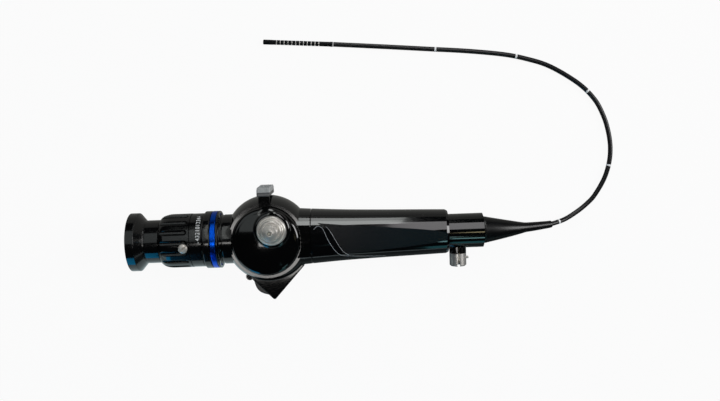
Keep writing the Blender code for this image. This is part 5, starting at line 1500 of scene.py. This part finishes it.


# For glossy rays the floor glows as a painted reflection, warm behind and cool in front.
white = glow((1, 1, 1), 1.0)
behind = glow((1, 1, 0.95), 0.2)
before = glow((0.8, 0.97, 1), 0.6)
# Painted shadow: a dim glow where the floor beside the ball and the grip is mirrored.
dark = glow((0.8, 0.97, 1), 0.06)
shadow_zone = paper.axis("X").above(SHADOW_FROM_X) * paper.axis("Y").above(SHADOW_FROM_Y)
before = paper.node("ShaderNodeMixShader", {}, {0: shadow_zone, 1: before, 2: dark})
grey = paper.node("ShaderNodeMixShader", {}, {0: paper.axis("Y").above(0.0), 1: before, 2: behind})
lit = Wire(paper, paper.shader.outputs[0])
ground = paper.node("ShaderNodeMixShader", {}, {0: mirrored, 1: lit, 2: grey})
ground = paper.node("ShaderNodeMixShader", {}, {0: seen * FLOOR_GLOW, 1: ground, 2: white})
output = paper.tree.nodes["Material Output"]
paper.tree.links.new(ground.socket, output.inputs["Surface"])
floor.data.materials.append(paper.material)
print("floor", FLOOR_SIZE, "metres wide")

# %% [markdown]
# The world gives almost no light to the object, and is as pale as the floor to the camera, so that no
# horizon shows from the side. Black gloss shows little but the room that it stands in, so the room is
# built from panels a metre off the body's axis: two angles and two stations set where a panel is mirrored
# as a streak on the body. A small spread keeps a lamp's light on a few centimetres. A narrow beam would
# be brighter, so its energy is scaled down.

# %% World
world = bpy.data.worlds.new("studio")
world.use_nodes = True
sky = world.node_tree
dim = sky.nodes["Background"]
dim.inputs["Color"].default_value = (0.86, 0.92, 1.0, 1)
dim.inputs["Strength"].default_value = 0.01
pale = sky.nodes.new("ShaderNodeBackground")
pale.inputs["Color"].default_value = (1, 1, 1, 1)
pale.inputs["Strength"].default_value = FLOOR_GLOW
chosen = sky.nodes.new("ShaderNodeMixShader")
sky.links.new(sky.nodes.new("ShaderNodeLightPath").outputs["Is Camera Ray"], chosen.inputs[0])
sky.links.new(dim.outputs[0], chosen.inputs[1])
sky.links.new(pale.outputs[0], chosen.inputs[2])
sky.links.new(chosen.outputs[0], sky.nodes["World Output"].inputs["Surface"])
bpy.context.scene.world = world
print("world nodes", len(sky.nodes))


# %% Panels and lights
def area_light(name, at, toward, width, height, radiance, colour=(1, 1, 1), spread=180):
    """A soft panel of a given brightness that faces a point; spread narrows its beam to so many degrees."""
    half = math.radians(spread / 2)
    narrowed = 1 if spread == 180 else (math.tan(half) - half) / math.tan(half)
    data = bpy.data.lights.new(name, "AREA")
    data.shape = "RECTANGLE"
    data.size = width
    data.size_y = height
    data.energy = radiance * math.pi * width * height * narrowed
    data.spread = 2 * half
    data.color = colour
    light = bpy.data.objects.new(name, data)
    facing = (Vector(at) - Vector(toward)).to_track_quat("Z", "Y").to_matrix().to_4x4()
    light.matrix_world = Matrix.Translation(at) @ facing
    bpy.context.collection.objects.link(light)
    return light


def panel(name, low, high, left, right, radiance, colour, aim=None, spread=180):
    """A panel a metre off the body, between two angles from straight up to +Y and two stations in metres."""
    middle = math.radians((low + high) / 2)
    at = ((left + right) / 2, math.sin(middle), AXIS_Z + math.cos(middle))
    height = 2 * math.tan(math.radians((high - low) / 2))
    toward = (at[0] if aim is None else aim, 0, AXIS_Z)
    return area_light(name, at, toward, right - left, height, radiance, colour, spread)


lights = [
    panel("window behind, upper pane", 72, 88, 0.04, 0.18, 3.0, (0.97, 1.0, 0.98)),
    panel("window behind, lower pane", 54, 72, 0.04, 0.18, 4.8, (0.97, 1.0, 0.98)),
    panel("tall window at the right", 17, 60, 0.165, 0.5, 2.2, (1.0, 0.98, 1.0)),
    panel("narrow window at the left", 10, 70, -0.24, -0.197, 2.1, (0.96, 1.0, 0.97)),
    panel("dim ceiling at the left", 3, 54, -1.1, -0.242, 0.5, (0.92, 1.0, 1.0)),
    panel("cool strip", -38, -30, 0.125, 0.18, 3.0, (0.5, 0.95, 1.0), 0.08, 7),
    panel("cool strip near the end", -39, -30, 0.18, 0.235, 3.0, (0.6, 1.0, 0.97), 0.1, 7),
    panel("warm lamp", -10, -3, 0.238, 0.34, 6.0, (1.0, 0.86, 0.5), 0.122, 9),
    panel("window in front", -50, -43, 0.215, 0.36, 2.8, (0.5, 0.97, 1.0)),
    panel("wall in front", -88, -72, 0.215, 0.45, 0.6, (0.2, 0.9, 1.0)),
    panel("blue window", -90, -56, -0.6, -0.318, 2.0, (0.02, 0.5, 1.0)),
    panel("wall at the front left", -88, -60, -1.2, -0.6, 1.0, (0.75, 0.97, 1.0)),
    panel("lamp over the post", -13, -6.5, -0.24, -0.02, 4.5, (1.0, 0.98, 0.95)),
    area_light("key at the right", (1.5, 0.3, 0.9), (0.05, 0, 0), 0.8, 0.8, 6.0),
]
print("lights", len(lights))
